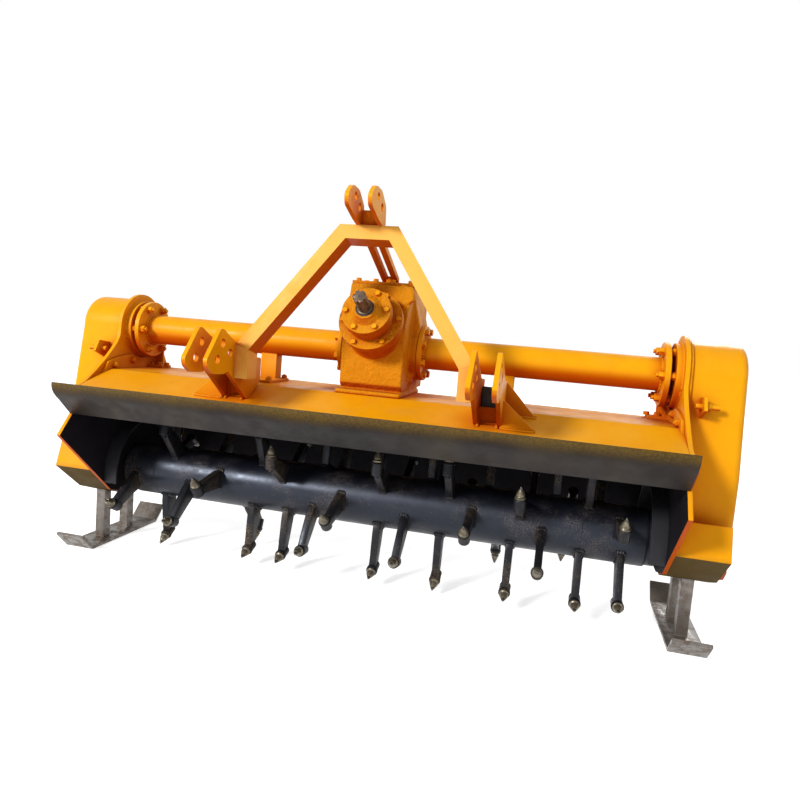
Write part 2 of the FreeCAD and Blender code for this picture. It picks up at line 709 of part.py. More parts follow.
def make_rotor():
    turned("rotor_drum", [
        (-stub_end, 0), (-stub_end, stub_r), (-end_plate, stub_r),
        (-end_plate, skirt_r - skirt_t), (-skirt_end, skirt_r - skirt_t), (-skirt_end, skirt_r),
        (-drum_end, skirt_r), (-drum_end, drum_r), (drum_end, drum_r), (drum_end, skirt_r),
        (skirt_end, skirt_r), (skirt_end, skirt_r - skirt_t), (end_plate, skirt_r - skirt_t),
        (end_plate, stub_r), (stub_end, stub_r), (stub_end, 0)], base=(0, axis_y, rotor_z))
    arm, pick = pick_shapes()
    start = Vector(-number(drum_end), number(axis_y), number(rotor_z))
    solid = Part.makeCylinder(number(drum_r), 2 * number(drum_end), start, X_AXIS)
    arms, picks = [], []
    for table_x, angle in PICKS:
        x = table_x / TABLE_HALF * number(drum_end)
        where = pick_frame(x, angle)
        body = arm.copy()
        body.Placement = where
        arms.append(body.cut(solid))
        tip = pick.copy()
        tip.Placement = where
        picks.append(tip)
    plain("pick_arms", Part.makeCompound(arms))
    plain("picks", Part.makeCompound(picks))


def make_rotor_ends():
    for name, side in SIDES:
        turned(name + "_rotor_bearing", [
            (bearing_x, stub_r + shaft_fit), (bearing_x, bearing_r - 14),
            (bearing_x + 14, bearing_r), (inside, bearing_r), (inside, stub_r + shaft_fit)],
            base=(0, axis_y, rotor_z), hand=side)
        width = inside - guard_x
        x = low_x(side, guard_x, width)
        outer = rod("guard_outer", x, 0, rotor_z, guard_r, width, ALONG_X)
        inner = rod("guard_inner", x, 0, rotor_z, guard_r - 8, width, ALONG_X)
        below = block("guard_below", x, -guard_r - 1, rotor_z - guard_r - 1, width,
                      guard_r * 2 + 2, guard_r + 1 - 33)
        ring = cut(name + "_ring", outer, inner)
        keep(cut(name + "_end_guard", ring, below), name + "_end_guard")


# ---------------------------------------------------------------- three-point frame
def make_frame():
    """Box section A-frame in its leaning plane, with upright feet on the hood brackets."""
    up = Vector(0, LEAN_SIN, LEAN_COS)
    back = Vector(0, LEAN_COS, -LEAN_SIN)
    size, foot_x, top = number(bar), number(frame_foot_x), number(frame_top)
    deep = number(bar_deep)
    top_x, knee = number(frame_top_x), number(knee_t)
    origin = Vector(0, number(frame_y) + number(axis_y), number(tube_z))

    def at(x, along):
        return origin + Vector(x, 0, 0) + up * along

    # corners of the front face, in x and along the lean
    slant = (foot_x - top_x) / (top - knee)
    offset = size * math.sqrt(1 + slant * slant)

    def inner_x(along):
        return top_x + (top - along) * slant - offset

    knee_in_x = foot_x - size
    knee_in = top - (knee_in_x + offset - top_x) / slant
    low_edge = top - size
    outline = [(-foot_x, knee), (-top_x, top), (top_x, top), (foot_x, knee),
               (knee_in_x, knee_in), (inner_x(low_edge), low_edge),
               (-inner_x(low_edge), low_edge), (-knee_in_x, knee_in)]
    corners = [at(*point) for point in outline]
    frame = Part.Face(Part.makePolygon(corners + corners[:1])).extrude(back * deep)
    foot_low = number(hitch_base_z())
    for side in (-1, 1):
        outer, inner = at(side * foot_x, knee), at(side * knee_in_x, knee_in)
        front = min(outer.y, inner.y)
        flat = [Vector(outer.x, front, outer.z), Vector(inner.x, front, inner.z),
                Vector(inner.x, front, foot_low), Vector(outer.x, front, foot_low)]
        foot = Part.Face(Part.makePolygon(flat + flat[:1])).extrude(Vector(0, deep + 2, 0))
        frame = frame.fuse(foot)
    plain("hitch_frame", frame.removeSplitter())


def hitch_base_z():
    return tube_z - 122


def ear_outline():
    """Side view of one lower hitch plate with its gusset tail down to the hood."""
    foot_front, foot_rear = -325, -293
    return [(-521, tube_z + 36), (-505, tube_z + 36), (-398, tube_z - 18),
            (-330, tube_z - 52), (-226, tube_z - 60), (-226, tube_z - 143),
            (foot_rear, hood_height(Size(foot_rear, "(0 - 293)"))),
            (foot_front, hood_height(Size(foot_front, "(0 - 325)"))),
            (-467, tube_z - 98), (-490, tube_z - 107), (-560, tube_z - 104),
            (-592, tube_z - 84), (-600, tube_z - 60)]


def gusset(label, side, y, inner_x, width, rise):
    """Triangular web across the machine, from the outer hitch plate down to the hood."""
    base = hood_height(Size(y, repr(float(y))))
    body = doc.addObject("PartDesign::Body", label)
    body.Label = label
    sketch = sketch_on(body, "XZ_Plane", "outline")
    polygon(sketch, [(inner_x * side, base), ((inner_x + width) * side, base),
                     (inner_x * side, base + rise)])
    pad(body, sketch, ear_t - 4)
    return place(body, 0, axis_y + y, 0)


def make_hitch():
    for name, side in SIDES:
        holes = [(-505, tube_z - 9, hitch_hole_r), (-535, tube_z - 60, hitch_hole_r),
                 (-456, tube_z - 41, hitch_hole_r)]
        inner = hitch_x - hitch_gap / 2 - ear_t
        outer = hitch_x + hitch_gap / 2
        ears = [slab("ear", [ear_outline()], low_x(side, start, ear_t), ear_t, holes)
                for start in (inner, outer)]
        NODES.pop()
        NODES.pop()
        ears[0].Label, ears[1].Label = name + "_inner_ear", name + "_outer_ear"
        base = hood_height(Size(-300, "(0 - 300)"))
        cross = slab("cross", [[(-310, base - 3.6), (-300, base), (-300, base + 48),
                                (-310, base + 48)]],
                     low_x(side, inner + ear_t, hitch_gap), hitch_gap)
        NODES.pop()
        cross.Label = name + "_cross_plate"
        gussets = [gusset(name + "_front_gusset", side, -325, outer + ear_t, 105, 88),
                   gusset(name + "_rear_gusset", side, -232, outer + ear_t, 98,
                          tube_z - hood_z - 52)]
        keep(fuse(name + "_hitch_bracket", ears + [cross] + gussets), name + "_hitch_bracket")


def bar_top(back):
    """Point on the upper face of the top bar, back from its front edge."""
    return (frame_y + frame_top * LEAN_SIN + back * LEAN_COS,
            tube_z + frame_top * LEAN_COS - back * LEAN_SIN)


def bar_back(down):
    """Point on the rear face of the top bar, down from its upper edge."""
    y, z = bar_top(bar_deep)
    return y - down * LEAN_SIN, z - down * LEAN_COS


def make_top_link():
    """Pair of top link plates on the frame's top bar, with the spacer between them."""
    outline = [(-430, tube_z + 499), (-412, tube_z + 508), (-352, tube_z + 505),
               (-292, tube_z + 466), bar_top(43), bar_top(0), (-368, tube_z + 412),
               (-452, tube_z + 440), (-460, tube_z + 472)]
    holes = [(-387, tube_z + 479, top_hole_r), (-340, tube_z + 455, top_hole_r)]
    ears = []
    for side in (-1, 1):
        ears.append(slab("top_ear", [outline], low_x(side, top_gap / 2, ear_t), ear_t, holes))
        NODES.pop()
    ears[0].Label, ears[1].Label = "left_top_ear", "right_top_ear"
    keep(fuse("top_link_ears", ears), "top_link_ears")
    slab("top_link_spacer", [[bar_top(24), (-306, tube_z + 452), (-294, tube_z + 444),
                              bar_top(38)]], -(top_gap / 2), top_gap)


def make_braces():
    """Two flat braces from the back of the top bar to the lug on the gearbox cover."""
    cover_z = box_top_z + cover_t
    half = lug_t / 2
    for name, side in SIDES:
        slab(name + "_rear_brace", [[
            bar_back(24), bar_back(2),
            (8, cover_z + 25), (8, cover_z + 3)]],
            low_x(side, half, brace_t), brace_t)
    slab("brace_lug", [[(-34, cover_z), (40, cover_z), (30, cover_z + 27),
                        (-20, cover_z + 27)]], -half, lug_t)


# ---------------------------------------------------------------- rear door
def make_door():
    outer = inside - hinge_in
    hinges = (-outer, outer * -0.366, outer * 0.366, outer)
    panel = slab("door_panel", [[
        (door_y, door_z - 30), (door_y, door_low_z), (door_y + door_t, door_low_z),
        (door_y + door_t, door_z - 30)]], 0, (inside + plate_t) * 2, (), True)
    NODES.pop()
    solids, bores = [panel], []
    # the panel stands higher between the hinges and closes the slot under the hood's edge
    edges = [-(inside + plate_t)] + [e for x in hinges for e in (x - 51, x + 51)]
    edges.append(inside + plate_t)
    for near, away in zip(edges[0::2], edges[1::2]):
        solids.append(block("rise", near, door_y, door_z - 31, away - near, door_t, 27))
    for x in hinges:
        solids.append(block("tab", x - 30, door_y, door_z - 30, 60, door_t, 30))
        solids.append(rod("knuckle", x - 30, door_y, door_z, pin_r + 8, 60, ALONG_X))
        bores.append(rod("knuckle_bore", x - 30, door_y, door_z, pin_r + door_fit, 60, ALONG_X))
    keep(cut("rear_door", fuse("door_body", solids), fuse("door_bores", bores)), "rear_door")
    lugs = []
    for x in hinges:
        for start in (x - 46, x + 36):
            lugs.append(slab("lug", [[
                (tail_y - 30, tail_z + 30 * (hood_z - tail_z) / (tail_y - rear_y)),
                (door_y - 12, door_z + 16), (door_y + 12, door_z + 16),
                (door_y + 12, door_z - 18), (door_y - 14, door_z - 18),
                (tail_y, tail_z - sheet_t), (tail_y, tail_z)]],
                start, 10, [(door_y, door_z, pin_r)]))
            NODES.pop()
    keep(fuse("door_hinge_lugs", lugs), "door_hinge_lugs")
    pins = [rod("pin", x - 48, door_y, door_z, pin_r, 96, ALONG_X) for x in hinges]
    keep(fuse("door_hinge_pins", pins), "door_hinge_pins")


make_hood()
make_lip()
make_side_plates()
make_cases()
make_case_brackets()
make_end_brackets()
make_skids()
make_tubes()
make_gearbox()
make_rotor()
make_rotor_ends()
make_hitch()
make_frame()
make_top_link()
make_braces()
make_door()
doc.recompute()

# ---------------------------------------------------------------- check and write
bad = [o.Label for o in doc.Objects if "Invalid" in o.State or "Error" in o.State]
if bad:
    raise RuntimeError("failed objects: " + ", ".join(bad))
os.makedirs("parts", exist_ok=True)
low, high = [1e9] * 3, [-1e9] * 3
for node in NODES:
    shape = node.Shape
    if shape.isNull() or not shape.isValid() or not shape.Solids:
        raise RuntimeError("bad shape: " + node.Label)
    box = shape.BoundBox
    low = [min(a, b) for a, b in zip(low, (box.XMin, box.YMin, box.ZMin))]
    high = [max(a, b) for a, b in zip(high, (box.XMax, box.YMax, box.ZMax))]
    shape.exportStep("parts/%s.step" % node.Label)
    print("%-24s %2d solids %12.0f mm3" % (node.Label, len(shape.Solids), shape.Volume))
print("box", [round(v, 1) for v in low], [round(v, 1) for v in high])
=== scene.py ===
import math

import bmesh
import bpy
from mathutils import Matrix, Vector


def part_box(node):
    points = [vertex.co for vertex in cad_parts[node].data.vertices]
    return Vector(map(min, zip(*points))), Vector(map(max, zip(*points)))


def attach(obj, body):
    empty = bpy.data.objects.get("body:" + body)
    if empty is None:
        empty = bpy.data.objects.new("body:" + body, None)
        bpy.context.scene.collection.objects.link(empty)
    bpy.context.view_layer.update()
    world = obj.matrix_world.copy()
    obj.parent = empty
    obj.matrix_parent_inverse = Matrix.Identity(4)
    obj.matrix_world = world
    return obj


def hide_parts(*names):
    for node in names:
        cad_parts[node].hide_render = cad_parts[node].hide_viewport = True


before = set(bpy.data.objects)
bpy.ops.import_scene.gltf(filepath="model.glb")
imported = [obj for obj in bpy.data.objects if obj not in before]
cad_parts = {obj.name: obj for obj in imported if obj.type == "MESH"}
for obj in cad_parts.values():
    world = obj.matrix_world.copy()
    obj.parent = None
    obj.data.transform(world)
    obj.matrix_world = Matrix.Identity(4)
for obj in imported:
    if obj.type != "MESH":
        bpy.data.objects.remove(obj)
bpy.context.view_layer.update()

# ---------------------------------------------------------------- places and sizes
MM = 0.001
X, Y, Z = Vector((1, 0, 0)), Vector((0, 1, 0)), Vector((0, 0, 1))
SIDES = (("left", -1), ("right", 1))
BOTH = (-1, 1)


def middle(node):
    """Centre of a CAD node's box."""
    low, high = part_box(node)
    return (Vector(low) + Vector(high)) / 2


tube_line = Vector((0, middle("left_hub_flange").y, middle("left_hub_flange").z))
rotor_line = Vector((0, middle("rotor_drum").y, middle("rotor_drum").z))
INPUT_TILT = math.radians(24.8)
input_axis = Vector((0, -math.cos(INPUT_TILT), math.sin(INPUT_TILT)))
input_up = Vector((0, math.sin(INPUT_TILT), math.cos(INPUT_TILT)))

# Hood and lip, in millimetres from the middle of the cross tube's axis; a pair is (y, z).
HOOD_TOP = -157.0
HOOD_CREASE = -206.0
HOOD_FRONT = (-449.7, -245.0)
HOOD_REAR = 112.0
HOOD_TAIL = (440.0, -317.0)
LIP_TOP = -194.0
LIP_HALF = 1036.0
LIP_SHEET = 7.6

# Cross tube and its flanges: x of the faces, and radii.
PLATE_IN = 1028.0
HUB_FLANGE_FACE = 1006.0
TUBE_FLANGE_FACE = 972.0
GEARBOX_FLANGE_FACE = 156.0
TUBE_WELD_R = 58.0
HUB_WELD_R = 109.0
TUBE_BOLTS_R = 89.0
GEARBOX_BOLTS_R = 84.0

# Input side of the gearbox: distances along the shaft's axis, and radii.
CARRIER_FACE = 250.0
CARRIER_BOLTS_R = 98.0
CAP_FACE = 315.0
CAP_BOLTS_R = 70.0
JOURNAL_FROM = 198.0
JOURNAL_R = 26.0
SPLINE_FROM = 338.0
SHAFT_END = 412.0
SPLINE_TIP_R = 22.2
SPLINE_ROOT_R = 18.6

# Bolts: width over the flats and height of the head, and where some of them stand.
SMALL_BOLT = (16, 7)
FRAME_BOLT = (19, 9)
GEARBOX_BOLT = (22, 10)
TUBE_BOLT = (24, 14)
COVER_TOP = 243.0
FOOT_TOP = HOOD_TOP + 10
BRACKET_BOLTS = ((-183, -143), (-75, -126), (56, -147))

# Lower hitch brackets: x of the plates' beaded faces, and y of the cross plate.
LINK_PLATES_X = (405, 465, 479)
CROSS_PLATE_Y = -311.0

# Rotor.
DRUM_R = 101.0
DRUM_END = 980.0
DRUM_SEAMS = (-880, 768)
ROOT_HALF = 34.0
ARM_HALF = 13.0
TIP_R = 298.0
HOLDER_BACK = 68.0
PICK_LENGTH = 44.0
NOSE_TURN = math.radians(42.0)


def at(x, y, z):
    """Point given in millimetres from the middle of the cross tube's axis."""
    return tube_line + Vector((x, y, z)) * MM


def hood_level(y):
    """Height of the hood's upper face at y, both in millimetres from the tube axis."""
    if y < HOOD_CREASE:
        share = (y - HOOD_CREASE) / (HOOD_FRONT[0] - HOOD_CREASE)
        return HOOD_TOP + share * (HOOD_FRONT[1] - HOOD_TOP)
    if y > HOOD_REAR:
        share = (y - HOOD_REAR) / (HOOD_TAIL[0] - HOOD_REAR)
        return HOOD_TOP + share * (HOOD_TAIL[1] - HOOD_TOP)
    return HOOD_TOP


# ---------------------------------------------------------------- shader groups
def new_group(name, inputs, outputs):
    """Empty shader group with its sockets: inputs are (name, kind, default)."""
    tree = bpy.data.node_groups.new(name, "ShaderNodeTree")
    for label, kind, default in inputs:
        socket = tree.interface.new_socket(name=label, in_out="INPUT", socket_type=kind)
        socket.default_value = default
    for label, kind in outputs:
        tree.interface.new_socket(name=label, in_out="OUTPUT", socket_type=kind)
    return tree, tree.nodes.new("NodeGroupInput"), tree.nodes.new("NodeGroupOutput")


FLOAT, COLOR = "NodeSocketFloat", "NodeSocketColor"


def noise(tree, scale, detail, rough=0.5, stretch=None):
    """Noise value on Object coordinates, stretched along the axes where stretch is set."""
    coords = tree.nodes.new("ShaderNodeTexCoord").outputs["Object"]
    if stretch is not None:
        mapping = tree.nodes.new("ShaderNodeMapping")
        mapping.inputs["Scale"].default_value = stretch
        tree.links.new(coords, mapping.inputs["Vector"])
        coords = mapping.outputs["Vector"]
    texture = tree.nodes.new("ShaderNodeTexNoise")
    texture.inputs["Scale"].default_value = scale
    texture.inputs["Detail"].default_value = detail
    texture.inputs["Roughness"].default_value = rough
    tree.links.new(coords, texture.inputs["Vector"])
    return texture.outputs["Fac"]


def into(tree, socket, value):
    """Wires a socket or writes a plain value into a socket."""
    if hasattr(value, "is_linked"):
        tree.links.new(value, socket)
    else:
        socket.default_value = value


def math_node(tree, operation, first, second, clamp=False):
    """Result of one arithmetic step on two sockets or plain values."""
    node = tree.nodes.new("ShaderNodeMath")
    node.operation = operation
    node.use_clamp = clamp
    into(tree, node.inputs[0], first)
    into(tree, node.inputs[1], second)
    return node.outputs[0]


def spread(tree, value, low, high, out_low=0.0, out_high=1.0, smooth=True):
    """Maps low..high of a value to out_low..out_high, held at the ends."""
    node = tree.nodes.new("ShaderNodeMapRange")
    node.interpolation_type = "SMOOTHSTEP" if smooth else "LINEAR"
    into(tree, node.inputs["Value"], value)
    into(tree, node.inputs["From Min"], low)
    into(tree, node.inputs["From Max"], high)
    into(tree, node.inputs["To Min"], out_low)
    into(tree, node.inputs["To Max"], out_high)
    return node.outputs["Result"]


def blend_colors(tree, factor, first, second):
    """Colour between two colours: first at factor 0, second at 1."""
    node = tree.nodes.new("ShaderNodeMix")
    node.data_type = "RGBA"
    into(tree, node.inputs[0], factor)
    into(tree, node.inputs[6], first)
    into(tree, node.inputs[7], second)
    return node.outputs[2]


def object_axis(tree, axis, kind="Object"):
    """One component of the Object coordinates or of the object's own normals."""
    coords = tree.nodes.new("ShaderNodeTexCoord")
    split = tree.nodes.new("ShaderNodeSeparateXYZ")
    tree.links.new(coords.outputs[kind], split.inputs[0])
    return split.outputs[axis]


# Distance of the ambient occlusion that puts painted shade in corners.
CORNER_SHADE_REACH = 140 * MM


def make_paint_film():
    """Sprayed enamel: slow drift of tone, painted shade in corners and on undersides, orange peel
    and sheet waves.
    """
    tree, given, result = new_group("paint_film", [
        ("Base", COLOR, (1, 1, 1, 1)), ("Deep", COLOR, (1, 1, 1, 1)),
        ("Thin", COLOR, (1, 1, 1, 1)), ("Gloss Low", FLOAT, 0.3), ("Gloss High", FLOAT, 0.45),
        ("Peel", FLOAT, 0.1), ("Wave", FLOAT, 0.6)],
        [("Color", COLOR), ("Roughness", FLOAT), ("Height", FLOAT)])
    drift = spread(tree, noise(tree, 1.9, 3.0, 0.55), 0.36, 0.64)
    fine = noise(tree, 17.0, 4.0, 0.6)
    tone = math_node(tree, "MULTIPLY", drift, 0.55)
    tone = math_node(tree, "ADD", tone, spread(tree, fine, 0.35, 0.75, 0.0, 0.35), True)
    color = blend_colors(tree, tone, given.outputs["Base"], given.outputs["Deep"])
    # painted shade: a darker, redder colour in corners (by ambient occlusion) and on downward
    # faces; corners are also rougher
    corner = tree.nodes.new("ShaderNodeAmbientOcclusion")
    corner.samples = 6
    corner.inputs["Distance"].default_value = CORNER_SHADE_REACH
    corner_shade = spread(tree, corner.outputs["AO"], 0.25, 0.90, 0.95, 0.0)
    under_shade = spread(tree, object_axis(tree, "Z", "Normal"), -0.60, 0.15, 0.95, 0.0)
    painted_shade = math_node(tree, "MAXIMUM", corner_shade, under_shade)
    tree.links.new(blend_colors(tree, painted_shade, color, given.outputs["Thin"]),
                   result.inputs["Color"])
    rough = spread(tree, fine, 0.3, 0.7, given.outputs["Gloss Low"], given.outputs["Gloss High"])
    matt = math_node(tree, "MULTIPLY", corner_shade, 0.45)
    tree.links.new(math_node(tree, "ADD", rough, matt, True), result.inputs["Roughness"])
    peel = math_node(tree, "MULTIPLY", noise(tree, 330.0, 2.0), given.outputs["Peel"])
    wave = math_node(tree, "MULTIPLY", noise(tree, 7.0, 2.0), given.outputs["Wave"])
    tree.links.new(math_node(tree, "ADD", peel, wave), result.inputs["Height"])
    return tree


def make_settled_dust():
    """Mask of dust lying on upward faces and in patches."""
    tree, given, result = new_group("settled_dust", [
        ("Amount", FLOAT, 0.5), ("Scale", FLOAT, 7.0)], [("Mask", FLOAT)])
    patch_noise = noise(tree, 7.0, 8.0, 0.62)
    tree.links.new(given.outputs["Scale"], patch_noise.node.inputs["Scale"])
    patch = spread(tree, patch_noise, 0.45, 0.72)
    upward = spread(tree, object_axis(tree, "Z", "Normal"), -0.1, 0.9)
    mask = math_node(tree, "MULTIPLY", patch, upward)
    mask = math_node(tree, "MULTIPLY", mask, given.outputs["Amount"], True)
    tree.links.new(mask, result.inputs["Mask"])
    return tree


def make_speckle():
    """Mask of small specks and chips."""
    tree, given, result = new_group("speckle", [
        ("Scale", FLOAT, 120.0), ("Threshold", FLOAT, 0.66)], [("Mask", FLOAT)])
    dots = noise(tree, 120.0, 3.0, 0.7)
    tree.links.new(given.outputs["Scale"], dots.node.inputs["Scale"])
    edge = math_node(tree, "ADD", given.outputs["Threshold"], 0.05)
    mask = spread(tree, dots, given.outputs["Threshold"], edge)
    cluster = spread(tree, noise(tree, 9.0, 3.0), 0.42, 0.62)
    tree.links.new(math_node(tree, "MULTIPLY", mask, cluster), result.inputs["Mask"])
    return tree


def make_worn_steel():
    """Bare steel: streaks along the turning marks, oxide clouds."""
    tree, given, result = new_group("worn_steel", [
        ("Bright", COLOR, (1, 1, 1, 1)), ("Oxide", COLOR, (1, 1, 1, 1)),
        ("Oxide Amount", FLOAT, 0.5)],
        [("Color", COLOR), ("Roughness", FLOAT), ("Height", FLOAT)])
    cloud = spread(tree, noise(tree, 38.0, 5.0, 0.65), 0.35, 0.68)
    cloud = math_node(tree, "MULTIPLY", cloud, given.outputs["Oxide Amount"], True)
    tree.links.new(blend_colors(tree, cloud, given.outputs["Bright"], given.outputs["Oxide"]),
                   result.inputs["Color"])
    tree.links.new(spread(tree, cloud, 0.0, 1.0, 0.3, 0.62), result.inputs["Roughness"])
    tree.links.new(noise(tree, 420.0, 3.0, 0.7), result.inputs["Height"])
    return tree


paint_film = make_paint_film()
settled_dust = make_settled_dust()
speckle = make_speckle()
worn_steel = make_worn_steel()


# ---------------------------------------------------------------- materials
def place_group(tree, group, **values):
    """Places a shader group with its input values; an underscore stands for a space."""
    node = tree.nodes.new("ShaderNodeGroup")
    node.node_tree = group
    for label, value in values.items():
        node.inputs[label.replace("_", " ")].default_value = value
    return node


def shader(name):
    """New material and its Principled shader."""
    material = bpy.data.materials.new(name)
    material.use_nodes = True
    principled = material.node_tree.nodes["Principled BSDF"]
    return material, material.node_tree, principled


def relief(tree, principled, height, distance):
    """Bump of the shader's normal; distance is the depth in metres of a height of 1."""
    bump = tree.nodes.new("ShaderNodeBump")
    bump.inputs["Distance"].default_value = distance
    into(tree, bump.inputs["Height"], height)
    tree.links.new(bump.outputs["Normal"], principled.inputs["Normal"])


ORANGE = (0.86, 0.375, 0.003, 1)
ORANGE_DEEP = (0.80, 0.30, 0.002, 1)
# Painted shade: a darker, redder orange for corners and undersides.
ORANGE_PAINTED_SHADE = (0.50, 0.070, 0.001, 1)
BARE_CHIP = (0.2, 0.07, 0.01, 1)
DUST = (0.56, 0.30, 0.07, 1)
SOIL = (0.105, 0.068, 0.020, 1)
ENAMEL_SHINE = 0.09
ENAMEL_RELIEF = 0.001


def make_orange(name, peel=0.10, wave=0.55, dust=0.22, gloss=(0.28, 0.44), soiled_below=None,
                base=ORANGE, deep=ORANGE_DEEP, cast=0.0):
    """Orange enamel: soiled_below adds soil on low faces, cast the lumps of a sand casting."""
    material, tree, principled = shader(name)
    # the paint film puts painted shade in corners and on undersides
    film = place_group(tree, paint_film, Base=base, Deep=deep, Thin=ORANGE_PAINTED_SHADE, Peel=peel,
                       Wave=wave, Gloss_Low=gloss[0], Gloss_High=gloss[1])
    dusty = place_group(tree, settled_dust, Amount=dust)
    specks = place_group(tree, speckle, Scale=95.0, Threshold=0.7)
    color = blend_colors(tree, dusty.outputs["Mask"], film.outputs["Color"], DUST)
    chips = math_node(tree, "MULTIPLY", specks.outputs["Mask"], 0.5)
    color = blend_colors(tree, chips, color, BARE_CHIP)
    rough = math_node(tree, "ADD", film.outputs["Roughness"],
                      math_node(tree, "MULTIPLY", dusty.outputs["Mask"], 0.35))
    if soiled_below is not None:
        high, low = soiled_below
        height = spread(tree, object_axis(tree, "Z"), low, high, 1.0, 0.0)
        ragged = spread(tree, noise(tree, 26.0, 6.0, 0.65), 0.22, 0.42, 0.55, 1.0)
        facing = spread(tree, object_axis(tree, "Z", "Normal"), -0.4, 0.1, 1.0, 0.35)
        soiled = math_node(tree, "MULTIPLY", math_node(tree, "MULTIPLY", height, ragged),
                           facing, True)
        color = blend_colors(tree, soiled, color, SOIL)
        rough = math_node(tree, "ADD", rough, math_node(tree, "MULTIPLY", soiled, 0.4), True)
    into(tree, principled.inputs["Base Color"], color)
    into(tree, principled.inputs["Roughness"], rough)
    principled.inputs["Specular IOR Level"].default_value = ENAMEL_SHINE
    height = film.outputs["Height"]
    if cast:
        lumps = math_node(tree, "MULTIPLY", noise(tree, 85.0, 4.0, 0.6), cast)
        height = math_node(tree, "ADD", height, lumps)
    relief(tree, principled, height, ENAMEL_RELIEF)
    return material


def make_black(name, base, deep, dust_color, dust, gloss, shine, specks=0.7,
               painted_reflection_tint=(1, 1, 1, 1)):
    """Black enamel with dust and specks on it, and painted shade in its deep tone in corners and on
    undersides; tint colours its reflections with a painted reflection colour.
    """
    material, tree, principled = shader(name)
    # the deep tone is also the painted shade in corners and on undersides
    film = place_group(tree, paint_film, Base=base, Deep=deep, Thin=deep, Peel=0.12, Wave=0.5,
                       Gloss_Low=gloss[0], Gloss_High=gloss[1])
    patch = spread(tree, noise(tree, 5.5, 9.0, 0.68), 0.47, 0.66)
    grain = spread(tree, noise(tree, 210.0, 2.0, 0.7), 0.42, 0.62)
    mask = math_node(tree, "MULTIPLY", patch, grain)
    mask = math_node(tree, "MULTIPLY", mask, dust, True)
    dots = place_group(tree, speckle, Scale=150.0, Threshold=specks)
    mask = math_node(tree, "MAXIMUM", mask, math_node(tree, "MULTIPLY", dots.outputs["Mask"], dust))
    color = blend_colors(tree, mask, film.outputs["Color"], dust_color)
    into(tree, principled.inputs["Base Color"], color)
    rough = math_node(tree, "ADD", film.outputs["Roughness"],
                      math_node(tree, "MULTIPLY", mask, 0.4), True)
    into(tree, principled.inputs["Roughness"], rough)
    principled.inputs["Specular IOR Level"].default_value = shine
    # painted reflection colour
    principled.inputs["Specular Tint"].default_value = painted_reflection_tint
    relief(tree, principled, math_node(tree, "ADD", film.outputs["Height"],
                                       math_node(tree, "MULTIPLY", mask, 0.15)), ENAMEL_RELIEF)
    return material


LIP_BROWN = (0.024, 0.015, 0.014, 1)
LIP_DEEP = (0.012, 0.008, 0.010, 1)
# painted shade of the lip in corners and on undersides
LIP_PAINTED_SHADE = (0.006, 0.004, 0.006, 1)
LIP_RUB = (0.006, 0.005, 0.006, 1)
LIP_WARM = (0.045, 0.034, 0.018, 1)
OVERSPRAY = (0.13, 0.075, 0.004, 1)


def make_lip_paint():
    """Dark lip: brown-grey enamel, orange overspray along its top, dark vertical rub marks, painted
    shade in corners and on undersides, and a painted warm tint on its reflections.
    """
    material, tree, principled = shader("lip_paint")
    film = place_group(tree, paint_film, Base=LIP_BROWN, Deep=LIP_DEEP, Thin=LIP_PAINTED_SHADE,
                       Peel=0.10, Wave=0.5, Gloss_Low=0.36, Gloss_High=0.55)
    rub = spread(tree, noise(tree, 1.0, 5.0, 0.6, stretch=(9.0, 2.0, 3.0)), 0.53, 0.66)
    color = blend_colors(tree, math_node(tree, "MULTIPLY", rub, 0.9), film.outputs["Color"],
                         LIP_RUB)
    warm = spread(tree, noise(tree, 1.3, 3.0, 0.5, stretch=(2.2, 1.0, 1.0)), 0.42, 0.66)
    color = blend_colors(tree, math_node(tree, "MULTIPLY", warm, 0.55), color, LIP_WARM)
    level = math_node(tree, "ADD", object_axis(tree, "Z"),
                      math_node(tree, "MULTIPLY", noise(tree, 3.0, 4.0, 0.6), 0.05))
    top = tube_line.z + LIP_TOP * MM
    mist = spread(tree, level, top - 0.026, top + 0.022)
    grain = spread(tree, noise(tree, 160.0, 3.0, 0.7), 0.30, 0.62, 0.35, 1.0)
    mist = math_node(tree, "MULTIPLY", mist, grain, True)
    color = blend_colors(tree, math_node(tree, "MULTIPLY", mist, 0.75), color, OVERSPRAY)
    into(tree, principled.inputs["Base Color"], color)
    into(tree, principled.inputs["Roughness"], film.outputs["Roughness"])
    principled.inputs["Specular IOR Level"].default_value = 0.22
    # painted warm reflection colour
    principled.inputs["Specular Tint"].default_value = (1.0, 0.86, 0.76, 1)
    relief(tree, principled, film.outputs["Height"], ENAMEL_RELIEF)
    return material


def make_steel(name, bright, oxide, amount, metallic=0.85, bump=0.00012, shine=0.5):
    """Bare steel with oxide; bump is the depth of its grain in metres."""
    material, tree, principled = shader(name)
    steel = place_group(tree, worn_steel, Bright=bright, Oxide=oxide, Oxide_Amount=amount)
    into(tree, principled.inputs["Base Color"], steel.outputs["Color"])
    into(tree, principled.inputs["Roughness"], steel.outputs["Roughness"])
    principled.inputs["Metallic"].default_value = metallic
    principled.inputs["Specular IOR Level"].default_value = shine
    relief(tree, principled, steel.outputs["Height"], bump)
    return material


def make_rubber():
    """Dull black rubber."""
    material, tree, principled = shader("seal_rubber")
    tone = spread(tree, noise(tree, 60.0, 4.0), 0.3, 0.7)
    into(tree, principled.inputs["Base Color"],
         blend_colors(tree, tone, (0.012, 0.011, 0.011, 1), (0.03, 0.025, 0.02, 1)))
    into(tree, principled.inputs["Roughness"], spread(tree, tone, 0.0, 1.0, 0.5, 0.75))
    relief(tree, principled, noise(tree, 300.0, 3.0), 0.0002)
    return material


